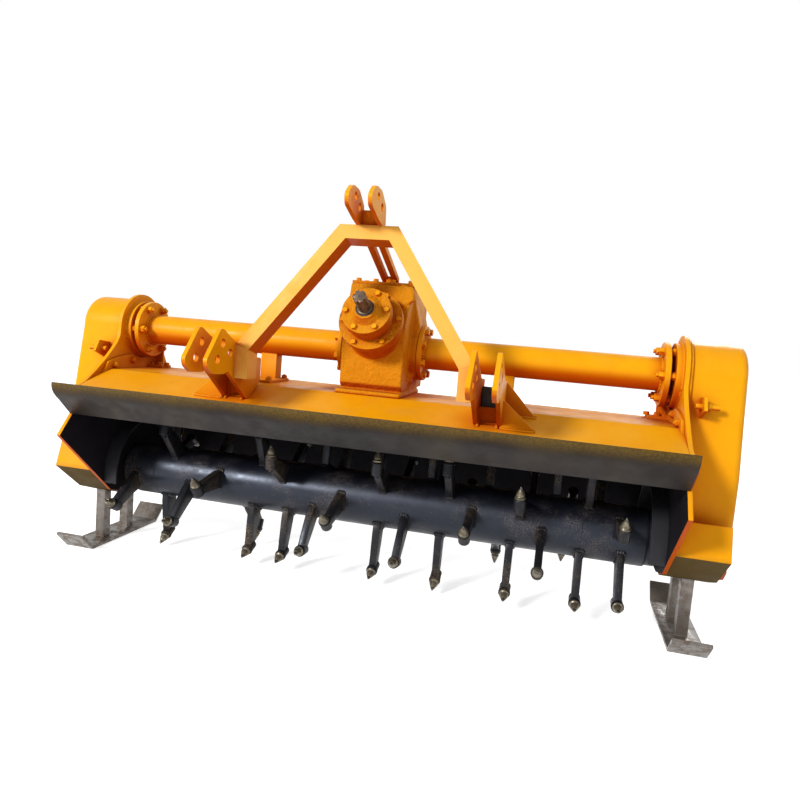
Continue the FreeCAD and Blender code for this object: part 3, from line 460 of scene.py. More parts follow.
orange = make_orange("orange_enamel")
orange_casting = make_orange("orange_casting", peel=0.9, wave=1.6, dust=0.16,
                             gloss=(0.38, 0.56), base=(0.72, 0.285, 0.002, 1),
                             deep=(0.55, 0.18, 0.002, 1), cast=7.0)
orange_weld = make_orange("orange_weld", peel=0.5, wave=0.6, dust=0.3)
# Paler orange of the hitch frame: dust, and a painted sheen of sky reflection.
orange_frame_dust_and_sheen = make_orange("orange_frame_dust_and_sheen", dust=0.3, gloss=(0.34, 0.5),
                           base=(0.84, 0.45, 0.085, 1), deep=(0.80, 0.39, 0.05, 1))
orange_skid = make_orange("orange_skid", dust=0.3, soiled_below=(0.348, 0.322))
chamber_black = make_black("chamber_black", base=(0.010, 0.008, 0.011, 1),
                           deep=(0.005, 0.004, 0.006, 1), dust_color=(0.05, 0.035, 0.022, 1),
                           dust=0.3, gloss=(0.5, 0.7), shine=0.12)
# Rotor and arms: the blue tint of their reflections is a painted sky reflection.
rotor_black = make_black("rotor_black", base=(0.010, 0.011, 0.018, 1),
                         deep=(0.005, 0.005, 0.008, 1), dust_color=(0.16, 0.13, 0.11, 1),
                         dust=0.55, gloss=(0.28, 0.44), shine=0.46, specks=0.64,
                         painted_reflection_tint=(0.74, 0.82, 1.0, 1))
arm_black = make_black("arm_black", base=(0.010, 0.010, 0.013, 1), deep=(0.006, 0.005, 0.006, 1),
                       dust_color=(0.15, 0.10, 0.055, 1), dust=0.85, gloss=(0.28, 0.5),
                       shine=0.3, specks=0.62, painted_reflection_tint=(0.84, 0.9, 1.0, 1))
guard_grey = make_black("guard_grey", base=(0.020, 0.020, 0.025, 1),
                        deep=(0.012, 0.012, 0.015, 1), dust_color=(0.07, 0.055, 0.04, 1),
                        dust=0.4, gloss=(0.4, 0.6), shine=0.25)
lip_paint = make_lip_paint()
shaft_steel = make_steel("shaft_steel", bright=(0.15, 0.10, 0.07, 1),
                         oxide=(0.075, 0.042, 0.026, 1), amount=0.75, metallic=0.2, shine=0.18)
pick_steel = make_steel("pick_steel", bright=(0.21, 0.18, 0.125, 1),
                        oxide=(0.06, 0.045, 0.03, 1), amount=0.8, metallic=0.6)
carbide = make_steel("carbide", bright=(0.12, 0.11, 0.095, 1), oxide=(0.05, 0.042, 0.034, 1),
                     amount=0.5, metallic=0.8)
pin_steel = make_steel("pin_steel", bright=(0.42, 0.41, 0.39, 1), oxide=(0.16, 0.12, 0.09, 1),
                       amount=0.5)
runner_steel = make_steel("runner_steel", bright=(0.20, 0.185, 0.17, 1),
                          oxide=(0.10, 0.065, 0.04, 1), amount=0.8, metallic=0.6, bump=0.0003)
seal_rubber = make_rubber()


# ---------------------------------------------------------------- mesh tools
def join_in(bm, part, slot_index=None):
    """Adds a finished shape to a bigger bmesh and frees it."""
    bmesh.ops.recalc_face_normals(part, faces=part.faces)
    if slot_index is not None:
        for face in part.faces:
            face.material_index = slot_index
    mesh = bpy.data.meshes.new("part")
    part.to_mesh(mesh)
    part.free()
    bm.from_mesh(mesh)
    bpy.data.meshes.remove(mesh)


def placed(part, matrix):
    """A moved copy of a shape."""
    copy = part.copy()
    bmesh.ops.transform(copy, matrix=matrix, verts=copy.verts)
    return copy


def turned(profile, origin, axis, segments):
    """Turned shape: profile is (distance along the axis, radius) in millimetres."""
    part = bmesh.new()
    side = axis.orthogonal().normalized()
    verts = [part.verts.new(origin + (axis * s + side * r) * MM) for s, r in profile]
    for pair in zip(verts, verts[1:]):
        part.edges.new(pair)
    bmesh.ops.spin(part, geom=list(part.verts) + list(part.edges), cent=origin, axis=axis,
                   angle=math.tau, steps=segments, use_merge=True)
    bmesh.ops.remove_doubles(part, verts=part.verts, dist=0.01 * MM)
    return part


def prism(corners, along):
    """Solid between a flat outline and the same outline moved along a vector."""
    part = bmesh.new()
    part.faces.new([part.verts.new(corner) for corner in corners])
    made = bmesh.ops.extrude_face_region(part, geom=list(part.faces))
    bmesh.ops.translate(part, vec=along, verts=[v for v in made["geom"]
                                               if isinstance(v, bmesh.types.BMVert)])
    bmesh.ops.recalc_face_normals(part, faces=part.faces)
    return part


def rounded(part, width):
    """Bevels the edges of a shape that turn by more than 30 degrees."""
    sharp = [edge for edge in part.edges if len(edge.link_faces) == 2
             and edge.calc_face_angle(0) > math.radians(30)]
    bmesh.ops.bevel(part, geom=sharp, offset=width * MM, affect="EDGES", segments=2,
                    profile=0.5, material=-1)
    return part


def hexagon(foot, axis, flats, height, spin):
    """Hexagon head or nut standing on foot, its outer end chamfered; flats is its width."""
    part = bmesh.new()
    corner_r = flats / math.sqrt(3) * MM
    bmesh.ops.create_cone(part, cap_ends=True, segments=6, radius1=corner_r, radius2=corner_r,
                          depth=height * MM)
    top = max(part.faces, key=lambda face: face.calc_center_median().z)
    bmesh.ops.inset_region(part, faces=[top], thickness=flats * 0.07 * MM, depth=0.0)
    bmesh.ops.translate(part, vec=(0, 0, flats * 0.05 * MM), verts=top.verts)
    turn = axis.to_track_quat("Z", "Y").to_matrix().to_4x4()
    bmesh.ops.transform(part, verts=part.verts, matrix=Matrix.Translation(
        foot + axis * height / 2 * MM) @ turn @ Matrix.Rotation(spin, 4, "Z"))
    return part


def bolt(bm, foot, axis, flats, height, spin, stud=0.0):
    """Bolt head or nut on its washer, with the threaded end past it where stud is set."""
    join_in(bm, turned([(0, 0), (0, flats * 0.66), (1.8, flats * 0.66), (2.4, flats * 0.62),
                        (2.4, 0)], foot, axis, 16))
    foot = foot + axis * 2.2 * MM
    join_in(bm, hexagon(foot, axis, flats, height, spin))
    if stud:
        thread = flats * 0.31
        join_in(bm, turned([(0, 0), (0, thread), (height + stud - 1.5, thread),
                            (height + stud, thread - 1.5), (height + stud, 0)],
                           foot, axis, 12))


def ring_of(origin, axis_a, axis_b, radius, angles):
    """Points on a circle in the plane of two axes; angles in degrees."""
    return [origin + (axis_a * math.cos(math.radians(a)) + axis_b * math.sin(math.radians(a)))
            * radius * MM for a in angles]


BEAD_SWELL = 1.22


def weld(bm, points, size, pitch=6.0, closed=False):
    """Rippled weld bead laid along a line of points: size is its radius, pitch its ripple."""
    if closed:
        points = points + points[:1]
    spots = []
    for start, end in zip(points, points[1:]):
        steps = max(1, round((end - start).length / (pitch / 2 * MM)))
        spots += [start.lerp(end, step / steps) for step in range(steps)]
    spots.append(points[-1])
    part = bmesh.new()
    bmesh.ops.create_circle(part, cap_ends=True, segments=6, radius=size * MM)
    aim = (spots[1] - spots[0]).normalized()
    bmesh.ops.transform(part, verts=part.verts, matrix=Matrix.Translation(spots[0])
                        @ aim.to_track_quat("Z", "Y").to_matrix().to_4x4())
    face = part.faces[:][0]
    for index, (last, spot) in enumerate(zip(spots, spots[1:])):
        made = bmesh.ops.extrude_face_region(part, geom=[face])["geom"]
        face = next(item for item in made if isinstance(item, bmesh.types.BMFace))
        after = spots[min(index + 2, len(spots) - 1)]
        new_aim = (after - last).normalized()
        turn = aim.rotation_difference(new_aim).to_matrix()
        swell = BEAD_SWELL if index % 2 == 0 else 1 / BEAD_SWELL
        for vert in face.verts:
            vert.co = spot + turn @ (vert.co - last) * swell
        aim = new_aim
    join_in(bm, part)


# ---------------------------------------------------------------- pieces
def finish_piece(bm, name, body, materials, nodes=(), bevel=0.0, sharp=35.0):
    """Makes the object of a shape, with its materials, edges, body and replaced nodes."""
    mesh = bpy.data.meshes.new(name)
    bm.normal_update()
    bm.to_mesh(mesh)
    bm.free()
    mesh.shade_smooth()
    mesh.set_sharp_from_angle(angle=math.radians(sharp))
    for material in materials:
        mesh.materials.append(material)
    piece = bpy.data.objects.new(name, mesh)
    bpy.context.scene.collection.objects.link(piece)
    if bevel:
        edge = piece.modifiers.new("edges", "BEVEL")
        edge.width = bevel * MM
        edge.segments = 2
        edge.limit_method = "ANGLE"
        edge.angle_limit = math.radians(38)
        edge.harden_normals = True
        edge.use_clamp_overlap = True
    if nodes:
        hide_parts(*nodes)
    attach(piece, body)


def node_shape(node):
    """Shape of a CAD node with its doubles merged and its flat faces joined."""
    bm = bmesh.new()
    bm.from_mesh(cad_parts[node].data)
    bmesh.ops.remove_doubles(bm, verts=bm.verts, dist=0.02 * MM)
    bmesh.ops.dissolve_limit(bm, angle_limit=math.radians(0.5), verts=bm.verts, edges=bm.edges)
    for face in bm.faces:
        face.material_index = 0
    return bm


def dress(node, body, materials, bevel, work=None):
    """A CAD node's shape with bevelled edges and its own finish; work shapes or colours it."""
    bm = node_shape(node)
    if work:
        work(bm)
    finish_piece(bm, node + "_shell", body, materials, [node], bevel)


def loose_parts(bm):
    """Groups of vertices that are joined by edges."""
    seen, groups = set(), []
    for first in bm.verts:
        if first in seen:
            continue
        seen.add(first)
        stack, group = [first], []
        while stack:
            vert = stack.pop()
            group.append(vert)
            for edge in vert.link_edges:
                other = edge.other_vert(vert)
                if other not in seen:
                    seen.add(other)
                    stack.append(other)
        groups.append(group)
    return groups


# ---------------------------------------------------------------- hood, lip and side plates
BLACK = 1


def blacken_under(bm):
    """The hood's lower face and its edges inside the chamber are black."""
    bm.normal_update()
    for face in bm.faces:
        if face.normal.z < -0.25:
            face.material_index = BLACK


def blacken_front(bm):
    """The door's face inside the chamber is black."""
    bm.normal_update()
    for face in bm.faces:
        if face.normal.y < -0.5:
            face.material_index = BLACK


def soften(width):
    """Rounds the outline of an upright plate: its short edges along X."""
    def work(bm):
        bm.normal_update()
        corners = [edge for edge in bm.edges if len(edge.link_faces) == 2
                   and abs((edge.verts[1].co - edge.verts[0].co).normalized().x) > 0.999
                   and edge.calc_face_angle(0) > math.radians(12)
                   and edge.calc_length() < 30 * MM]
        bmesh.ops.bevel(bm, geom=corners, offset=width * MM, affect="EDGES", segments=4,
                        profile=0.5, clamp_overlap=True, material=-1)
    return work


def blacken_chamber(side):
    """The inner face of a side plate is black below the hood."""
    def work(bm):
        for start, end in ((HOOD_FRONT, (HOOD_CREASE, HOOD_TOP)),
                           ((HOOD_CREASE, HOOD_TOP), (HOOD_REAR, HOOD_TOP)),
                           ((HOOD_REAR, HOOD_TOP), HOOD_TAIL)):
            low, high = at(0, *start), at(0, *end)
            normal = X.cross(high - low).normalized()
            bmesh.ops.bisect_plane(bm, geom=bm.verts[:] + bm.edges[:] + bm.faces[:],
                                   plane_co=low - Z * 4 * MM, plane_no=normal)
        bm.normal_update()
        for face in bm.faces:
            spot = (face.calc_center_median() - tube_line) / MM
            if face.normal.x * side < -0.9 and spot.z < hood_level(spot.y) - 3:
                face.material_index = BLACK
    return work


def make_lip():
    """Front lip: one curved sheet across the machine, its top edge free before the hood."""
    line = [(-485.0, -194.5), (-486.0, -205), (-483.5, -218), (-476, -232), (-464, -245),
            (-448, -259), (-428, -278), (-408, -297), (-390.5, -313.5)]
    outer = [at(-LIP_HALF, y, z) for y, z in line]
    inner = []
    for index, (y, z) in enumerate(line):
        before, after = line[max(index - 1, 0)], line[min(index + 1, len(line) - 1)]
        aim = Vector((0, after[0] - before[0], after[1] - before[1])).normalized()
        inner.append(at(-LIP_HALF, y, z) + Vector((0, -aim.z, aim.y)) * LIP_SHEET * MM)
    bm = prism(outer + inner[::-1], X * 2 * LIP_HALF * MM)
    finish_piece(bm, "lip_sheet", "frame_body", [lip_paint], ["front_lip"], 1.5)


dress("hood", "frame_body", [orange, chamber_black], 1.5, blacken_under)
make_lip()
for name, side in SIDES:
    dress(name + "_side_plate", "frame_body", [orange, chamber_black], 1.5,
          blacken_chamber(side))
    dress(name + "_drive_case", "frame_body", [orange], 1.5)
    dress(name + "_case_bracket", "frame_body", [orange], 1.0)
    dress(name + "_end_bracket", "frame_body", [orange], 1.2)
    dress(name + "_skid", "frame_body", [orange_skid], 2.0)
    dress(name + "_skid_runner", "frame_body", [runner_steel], 2.0)
    dress(name + "_axle_tube", "frame_body", [orange], 2.0)
    dress(name + "_hub_flange", "frame_body", [orange], 2.0)
    dress(name + "_flange_spacers", "frame_body", [orange], 0.6)
    dress(name + "_tube_post", "frame_body", [orange], 1.5)
    dress(name + "_hitch_bracket", "frame_body", [orange], 2.0, soften(14))
    dress(name + "_rear_brace", "frame_body", [orange], 2.0)
    dress(name + "_rotor_bearing", "frame_body", [rotor_black], 2.0)
    dress(name + "_end_guard", "frame_body", [guard_grey], 1.2)
dress("hitch_frame", "frame_body", [orange_frame_dust_and_sheen], 4.0)
dress("top_link_ears", "frame_body", [orange], 2.0, soften(20))
dress("top_link_spacer", "frame_body", [orange], 2.0)
dress("brace_lug", "frame_body", [orange], 2.0)
dress("gearbox_cover", "frame_body", [orange_casting], 2.0)
dress("door_hinge_lugs", "frame_body", [orange], 1.5)
dress("door_hinge_pins", "frame_body", [pin_steel], 1.0)
dress("rear_door", "door_body", [orange, chamber_black], 1.5, blacken_front)


WING_OUTLINE = ((457.5, -378), (446, -378), (330, -450), (312, -500), (330, -560),
                (457.5, -600))


def make_door_wings():
    """Wing on each end of the door, inside the side plate, over the gap behind the plate."""
    bm = bmesh.new()
    for side in BOTH:
        corners = [at(side * (PLATE_IN - 12), y, z) for y, z in WING_OUTLINE]
        join_in(bm, prism(corners, X * side * 5 * MM))
    bm.normal_update()
    for face in bm.faces:
        if face.normal.x * face.calc_center_median().x < 0:
            face.material_index = BLACK
    finish_piece(bm, "door_wings", "door_body", [orange, chamber_black],
                 bevel=1.0)


make_door_wings()


# ---------------------------------------------------------------- gearbox casting
CASTING_VOXEL = 3.6


def make_casting():
    """Gearbox housing as one casting: flared sides, a pad on its front, softened corners."""
    bm = node_shape("gearbox_housing")
    for side in BOTH:
        join_in(bm, prism([at(side * 108, -75, 228), at(side * 140, -70, 95),
                           at(side * 140, -70, -60), at(side * 108, -75, -130)],
                          Y * 145 * MM))
    pad_centre = tube_line + input_axis * 190 * MM + X * 84 * MM + input_up * 126 * MM
    join_in(bm, hexagon(pad_centre, input_axis, 80.0, 9.0, math.radians(8)))
    mesh = bpy.data.meshes.new("casting")
    bmesh.ops.triangulate(bm, faces=bm.faces)
    bm.to_mesh(mesh)
    bm.free()
    rough_casting = bpy.data.objects.new("casting", mesh)
    bpy.context.scene.collection.objects.link(rough_casting)
    remesh = rough_casting.modifiers.new("skin", "REMESH")
    remesh.mode = "VOXEL"
    remesh.voxel_size = CASTING_VOXEL * MM
    smooth = rough_casting.modifiers.new("soften", "SMOOTH")
    smooth.factor = 0.5
    smooth.iterations = 5
    bpy.context.view_layer.update()
    skin = bpy.data.meshes.new_from_object(
        rough_casting.evaluated_get(bpy.context.evaluated_depsgraph_get()))
    bpy.data.objects.remove(rough_casting)
    shaped = bmesh.new()
    shaped.from_mesh(skin)
    finish_piece(shaped, "gearbox_casting", "frame_body", [orange_casting],
                 ["gearbox_housing"], sharp=60.0)


SPLINE_TOOTH = ((-17, SPLINE_TIP_R), (-6, SPLINE_TIP_R), (6, SPLINE_TIP_R), (17, SPLINE_TIP_R),
                (21, SPLINE_ROOT_R), (39, SPLINE_ROOT_R))


def make_input_shaft():
    """Six-spline shaft end with a chamfered end and a dark centre, on its journal."""
    collar = SPLINE_FROM - 1
    bm = turned([(JOURNAL_FROM, 0), (JOURNAL_FROM, JOURNAL_R), (collar, JOURNAL_R),
                 (collar + 2, 22), (collar + 2, 0)], tube_line, input_axis, 40)
    outline = []
    for tooth in range(6):
        for turn, radius in SPLINE_TOOTH:
            angle = math.radians(60 * tooth + turn)
            outline.append(tube_line + input_axis * SPLINE_FROM * MM
                           + (X * math.cos(angle) + input_up * math.sin(angle)) * radius * MM)
    spline = prism(outline, input_axis * (SHAFT_END - SPLINE_FROM) * MM)
    end = max(spline.faces, key=lambda face: face.calc_center_median().dot(input_axis))
    bmesh.ops.inset_region(spline, faces=[end], thickness=2.5 * MM, depth=0)
    rim = [v for v in spline.verts if v not in set(end.verts)
           and (v.co - tube_line).dot(input_axis) > (SHAFT_END - 1) * MM]
    bmesh.ops.translate(spline, vec=input_axis * -1.0 * MM, verts=rim)
    join_in(bm, spline)
    join_in(bm, turned([(SHAFT_END - 0.8, 0), (SHAFT_END - 0.8, 4.6), (SHAFT_END + 0.1, 4.0),
                        (SHAFT_END + 0.1, 0)], tube_line, input_axis, 16), 1)
    finish_piece(bm, "splined_shaft", "input_body", [shaft_steel, seal_rubber],
                 ["input_shaft"], sharp=28.0)


def make_shaft_seal():
    """Rubber lip round the journal, in the bearing cap's mouth."""
    seal = turned([(322, 26.4), (333, 26.4), (335, 28), (335, 31), (332, 33.5), (322, 33.5),
                   (322, 26.4)], tube_line, input_axis, 48)
    finish_piece(seal, "shaft_seal", "frame_body", [seal_rubber])


make_casting()
for node in ("input_carrier", "input_bearing_cap"):
    dress(node, "frame_body", [orange_casting], 1.5)
make_input_shaft()
make_shaft_seal()


# ---------------------------------------------------------------- bolts
def make_gearbox_bolts():
    """Bolts of the bearing cap, the carrier, the side flanges and the cover."""
    bm = bmesh.new()
    sixths = [5 + 60 * step for step in range(6)]
    cap_face = tube_line + input_axis * CAP_FACE * MM
    for index, spot in enumerate(ring_of(cap_face, X, input_up, CAP_BOLTS_R, sixths)):
        bolt(bm, spot, input_axis, *SMALL_BOLT, index * 0.7)
    carrier_face = tube_line + input_axis * CARRIER_FACE * MM
    for index, spot in enumerate(ring_of(carrier_face, X, input_up, CARRIER_BOLTS_R, sixths)):
        bolt(bm, spot, input_axis, *SMALL_BOLT, index * 0.9)
    eighths = [45 * step + 22.5 for step in range(8)]
    for side in BOTH:
        centre = at(side * GEARBOX_FLANGE_FACE, 0, 0)
        for index, spot in enumerate(ring_of(centre, Y, Z, GEARBOX_BOLTS_R, eighths)):
            bolt(bm, spot, X * side, *GEARBOX_BOLT, index * 0.5)
    for x in (-96, -32, 32, 96):
        for y in (-82, 122):
            bolt(bm, at(x, y, COVER_TOP), Z, *SMALL_BOLT, x * 0.1)
    for x in (-96, 96):
        bolt(bm, at(x, 20, COVER_TOP), Z, *SMALL_BOLT, x * 0.1)
    finish_piece(bm, "gearbox_bolts", "frame_body", [orange], sharp=25.0)


def make_flange_bolts():
    """Bolts through the outer flanges of the cross tube, with nuts on the hub flanges."""
    bm = bmesh.new()
    sixths = [60 * step for step in range(6)]
    for side in BOTH:
        heads = ring_of(at(side * TUBE_FLANGE_FACE, 0, 0), Y, Z, TUBE_BOLTS_R, sixths)
        nuts = ring_of(at(side * HUB_FLANGE_FACE, 0, 0), Y, Z, TUBE_BOLTS_R, sixths)
        for index, (head, nut) in enumerate(zip(heads, nuts)):
            bolt(bm, head, X * -side, *TUBE_BOLT, index * 0.8, stud=9)
            join_in(bm, hexagon(nut, X * -side, TUBE_BOLT[0], 9, index * 0.4))
    finish_piece(bm, "tube_flange_bolts", "frame_body", [orange], sharp=25.0)


def make_frame_bolts():
    """Bolts of the end brackets and of the tube posts' feet."""
    bm = bmesh.new()
    for side in BOTH:
        for index, (y, z) in enumerate(BRACKET_BOLTS):
            bolt(bm, at(side * (PLATE_IN - 10), y, z), X * -side, *FRAME_BOLT, index, stud=5)
        for x in (side * 950, side * 985):
            bolt(bm, at(x, 62, FOOT_TOP), Z, *FRAME_BOLT, x)
        for x in (side * 410, side * 495):
            for y in (-112, 34):
                bolt(bm, at(x, y, FOOT_TOP), Z, *FRAME_BOLT, x * 0.1, stud=4)
    finish_piece(bm, "frame_bolts", "frame_body", [orange], sharp=25.0)


make_gearbox_bolts()
make_flange_bolts()
make_frame_bolts()


# ---------------------------------------------------------------- blocks and weld beads
def on_hood(x, y, lift):
    """Point over the hood's upper face, lift millimetres above it."""
    return at(x, y, hood_level(y) + lift)


def make_stop_blocks():
    """Black rubber block between the plates of each lower hitch bracket."""
    bm = bmesh.new()
    front, rear = -298, -254
    for low_x in (-464, 406):
        corners = [on_hood(low_x, front, 0.5), on_hood(low_x, rear, 0.5), at(low_x, rear, -82),
                   at(low_x, front, -78)]
        join_in(bm, rounded(prism(corners, X * 58 * MM), 3.0))
    finish_piece(bm, "stop_blocks", "frame_body", [seal_rubber], sharp=40.0)


def make_frame_welds():
    """Beads of the lower hitch brackets on the hood and of the tube's flanges."""
    bm = bmesh.new()
    for side in BOTH:
        for x in LINK_PLATES_X:
            weld(bm, [on_hood(side * x, -338, 2), on_hood(side * x, -290, 2)], 4.5)
            weld(bm, [on_hood(side * x, CROSS_PLATE_Y, 2), at(side * x, CROSS_PLATE_Y, -146)], 3.5)
        weld(bm, [on_hood(side * 394, CROSS_PLATE_Y, 2), on_hood(side * 476, CROSS_PLATE_Y, 2)],
             4.5)
        for y in (-337, -322, -244, -230):
            weld(bm, [on_hood(side * 480, y, 1), on_hood(side * 582, y, 1)], 4.0)
        for x, radius, size, step in ((TUBE_FLANGE_FACE, TUBE_WELD_R, 5.0, 15),
                                      (GEARBOX_FLANGE_FACE + 1, TUBE_WELD_R, 5.0, 15),
                                      (PLATE_IN, HUB_WELD_R, 4.0, 10)):
            weld(bm, ring_of(at(side * x, 0, 0), Y, Z, radius, range(0, 360, step)), size,
                 closed=True)
    finish_piece(bm, "frame_welds", "frame_body", [orange_weld], sharp=80.0)


make_stop_blocks()
make_frame_welds()


# ---------------------------------------------------------------- rotor
def from_rotor_axis(vert):
    """Distance of a vertex from the rotor's axis, in metres."""
    return (vert.co.yz - rotor_line.yz).length


def pick_places():
    """Place along X and outward direction of each pick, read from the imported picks."""
    bm = bmesh.new()
    bm.from_mesh(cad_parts["picks"].data)
    bmesh.ops.remove_doubles(bm, verts=bm.verts, dist=0.02 * MM)
    places = []
    for group in loose_parts(bm):
        far = max(group, key=from_rotor_axis)
        ring = [vert.co for vert in group if (vert.co - far.co).length < 9 * MM]
        tip = sum(ring, Vector()) / len(ring)
        xs = [vert.co.x for vert in group]
        out = Vector((0, tip.y - rotor_line.y, tip.z - rotor_line.z)).normalized()
        places.append(((min(xs) + max(xs)) / 2, out))
    bm.free()
    return places


def arm_matrix(x, out):
    """Arm's own axes (outwards, ahead, along the rotor) at its place on the rotor."""
    ahead = Vector((0, out.z, -out.y))
    turn = Matrix((out, ahead, -X)).transposed().to_4x4()
    return Matrix.Translation(Vector((x, rotor_line.y, rotor_line.z))) @ turn


nose = Vector((math.cos(NOSE_TURN), math.sin(NOSE_TURN), 0))


def drum_level(w):
    """Height of a bead over the drum's face at w beside the arm's middle, in millimetres."""
    return math.sqrt(DRUM_R ** 2 - w * w) + 1.5


def arm_shape():
    """Forged arm with its round holder and the weld beads at both ends."""
    holder = Vector((TIP_R, 0, 0)) - nose * HOLDER_BACK
    root = DRUM_R - 14
    outline = [(root, -ROOT_HALF), (root, ROOT_HALF), (root + 42, 24),
               (holder.x, holder.y + 20), (holder.x + 6, holder.y - 20)]
    bar = prism([Vector((u, w, -ARM_HALF)) * MM for u, w in outline], Z * 2 * ARM_HALF * MM)
    bm = bmesh.new()
    join_in(bm, rounded(bar, 2.2))
    origin = holder * MM
    join_in(bm, turned([(-24, 0), (-24, 17.5), (-21.5, 20), (13, 20), (14.5, 21.3), (21, 21.3),
                        (24, 19), (24, 0)], origin, nose, 18))
    join_in(bm, turned([(-33, 0), (-33, 7.5), (-31.5, 9), (-23.5, 9), (-23.5, 0)],
                       origin, nose, 10))
    for z in (-ARM_HALF, ARM_HALF):
        weld(bm, [Vector((drum_level(w), w, z)) * MM for w in (-35, -24, -12, 0, 12, 24, 35)],
             5.0, 10.0)
    for w in (-ROOT_HALF, ROOT_HALF):
        weld(bm, [Vector((drum_level(w), w, z)) * MM for z in (-ARM_HALF, 0, ARM_HALF)],
             6.0, 10.0)
    for z in (-ARM_HALF, ARM_HALF):
        weld(bm, [Vector((holder.x - 18 + step * 4, holder.y - 16 + step * 8, z * 0.95)) * MM
                  for step in range(4)], 4.5, 9.0)
    return bm


def pick_shape():
    """Conical pick: wear ring, shank collar, stepped cone and carbide point."""
    origin = (Vector((TIP_R, 0, 0)) - nose * PICK_LENGTH) * MM
    bm = bmesh.new()
    join_in(bm, turned([(-1, 0), (-1, 17), (1.5, 18), (5, 18), (6.5, 16.5), (8, 14), (9.5, 13.2),
                        (12, 15.2), (14.5, 15), (24, 10.5), (31, 8.2), (32, 7.4), (32, 0)],
                       origin, nose, 16), 0)
    join_in(bm, turned([(31.5, 0), (31.5, 6.2), (37, 5.6), (41.5, 3.4), (PICK_LENGTH, 0.8),
                        (PICK_LENGTH + 0.3, 0)], origin, nose, 12), 1)
    return bm


def make_arms_and_picks():
    """One arm and one pick at each place on the rotor."""
    arm, pick = arm_shape(), pick_shape()
    arms, picks = bmesh.new(), bmesh.new()
    for x, out in pick_places():
        where = arm_matrix(x, out)
        join_in(arms, placed(arm, where))
        join_in(picks, placed(pick, where))
    arm.free()
    pick.free()
    finish_piece(arms, "rotor_arms", "rotor_body", [arm_black], ["pick_arms"],
                 sharp=40.0)
    finish_piece(picks, "rotor_picks", "rotor_body", [pick_steel, carbide],
                 ["picks"], sharp=40.0)


def make_drum():
    """Drum with its stepped ends, stub shafts, pipe seams and end beads."""
    half = [(DRUM_END - 1.5, DRUM_R), (DRUM_END, DRUM_R - 1.5), (DRUM_END, 95), (1017, 95),
            (1018, 94), (1018, 90.5), (1017, 89.5), (978, 89.5), (978, 40), (1020, 40), (1020, 0)]
    bm = turned([(-x, r) for x, r in half[::-1]] + half, rotor_line, X, 96)
    for x in DRUM_SEAMS:
        weld(bm, ring_of(rotor_line + X * x * MM, Y, Z, 100.5, range(0, 360, 6)), 1.8, 7.0,
             closed=True)
    for side in BOTH:
        weld(bm, ring_of(rotor_line + X * side * (DRUM_END + 1.5) * MM, Y, Z, 96.5,
                         range(0, 360, 6)), 3.0, 8.0, closed=True)
    finish_piece(bm, "drum", "rotor_body", [rotor_black], ["rotor_drum"],
                 sharp=30.0)


make_arms_and_picks()
make_drum()


# ---------------------------------------------------------------- floor, light and camera
def seen_plainly(tree):
    """1 for rays from the camera, a reflection or clear glass, else 0."""
    path = tree.nodes.new("ShaderNodeLightPath")
    seen = math_node(tree, "MAXIMUM", path.outputs["Is Camera Ray"], path.outputs["Is Glossy Ray"])
    return math_node(tree, "MAXIMUM", seen, path.outputs["Is Transmission Ray"])


def make_floor():
    """Wide pale floor that keeps the machine's shadow and looks white past it."""
    bm = bmesh.new()
    bmesh.ops.create_grid(bm, x_segments=1, y_segments=1, size=40.0)
    mesh = bpy.data.meshes.new("floor")
    bm.to_mesh(mesh)
    bm.free()
    floor = bpy.data.objects.new("floor", mesh)
    bpy.context.scene.collection.objects.link(floor)
    material, tree, principled = shader("pale_floor")
    principled.inputs["Base Color"].default_value = (0.9, 0.9, 0.9, 1)
    principled.inputs["Roughness"].default_value = 0.9
    principled.inputs["Specular IOR Level"].default_value = 0.1
    principled.inputs["Emission Color"].default_value = (1, 1, 1, 1)
    glow = math_node(tree, "MULTIPLY", seen_plainly(tree), 0.7)
    into(tree, principled.inputs["Emission Strength"], glow)
    mesh.materials.append(material)


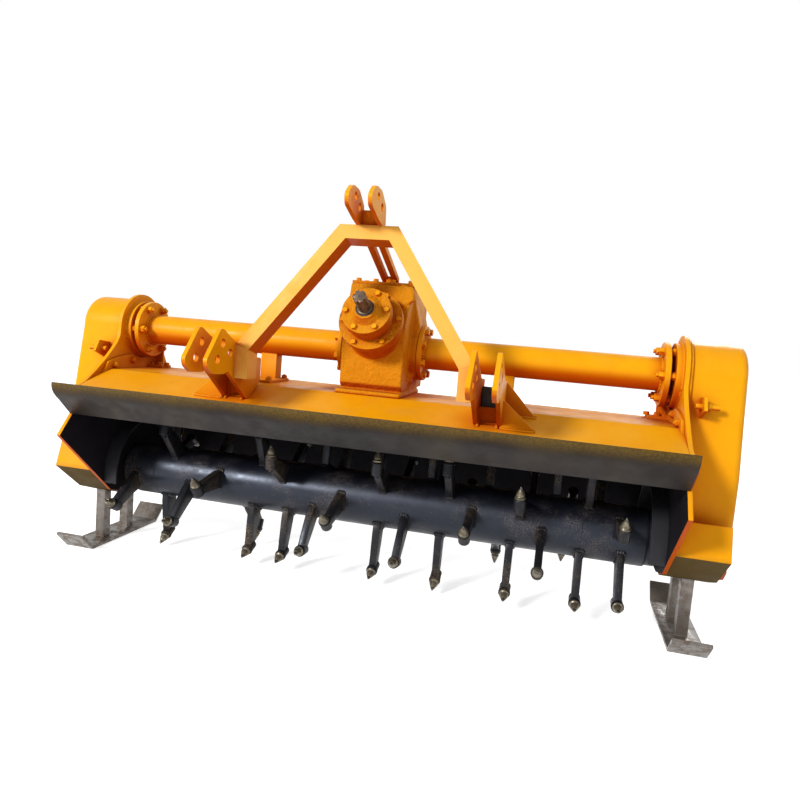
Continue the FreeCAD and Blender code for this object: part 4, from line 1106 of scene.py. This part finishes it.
def make_world():
    """White background that lights the machine at a lower, plain level."""
    world = bpy.data.worlds.new("studio")
    world.use_nodes = True
    tree = world.node_tree
    background = tree.nodes["Background"]
    background.inputs["Color"].default_value = (1, 1, 1, 1)
    strength = spread(tree, seen_plainly(tree), 0.0, 1.0, 0.34, 1.0, smooth=False)
    into(tree, background.inputs["Strength"], strength)
    bpy.context.scene.world = world


LAMP_AIM = Vector((0, 0, 0.6))


def add_lamp(name, direction, distance, size, watts):
    """Square soft lamp that shines along direction at the middle of the machine."""
    light = bpy.data.lights.new(name, "AREA")
    light.size = size
    light.energy = watts
    lamp = bpy.data.objects.new(name, light)
    aim = Vector(direction).normalized()
    lamp.location = LAMP_AIM - aim * distance
    lamp.rotation_euler = aim.to_track_quat("-Z", "Y").to_euler()
    bpy.context.scene.collection.objects.link(lamp)


CAMERA_SPOT = (0.6318, -2.3361, 0.9438)
CAMERA_YAW, CAMERA_PITCH, CAMERA_ROLL = 0.229, 0.102, 0.082
CAMERA_LENS = 29.80


def make_camera():
    """Camera in front of the machine's right half: yaw to its left, pitch down, roll."""
    data = bpy.data.cameras.new("camera")
    data.lens = CAMERA_LENS
    data.sensor_width = 36.0
    camera = bpy.data.objects.new("camera", data)
    ahead = Vector((-math.sin(CAMERA_YAW) * math.cos(CAMERA_PITCH),
                    math.cos(CAMERA_YAW) * math.cos(CAMERA_PITCH), -math.sin(CAMERA_PITCH)))
    right = Vector((math.cos(CAMERA_YAW), math.sin(CAMERA_YAW), 0))
    up = right.cross(ahead)
    across = right * math.cos(CAMERA_ROLL) + up * math.sin(CAMERA_ROLL)
    upward = up * math.cos(CAMERA_ROLL) - right * math.sin(CAMERA_ROLL)
    turn = Matrix((across, upward, -ahead)).transposed().to_4x4()
    camera.matrix_world = Matrix.Translation(CAMERA_SPOT) @ turn
    bpy.context.scene.collection.objects.link(camera)
    bpy.context.scene.camera = camera


make_floor()
make_world()
add_lamp("key", (0.50, 0.76, -0.42), 12.0, 2.2, 1340)
add_lamp("fill", (-0.7, 0.5, -0.5), 6.0, 3.0, 40)
add_lamp("rear", (-0.35, -0.80, -0.48), 12.0, 3.0, 420)
make_camera()
bpy.context.scene.view_settings.view_transform = "Standard"
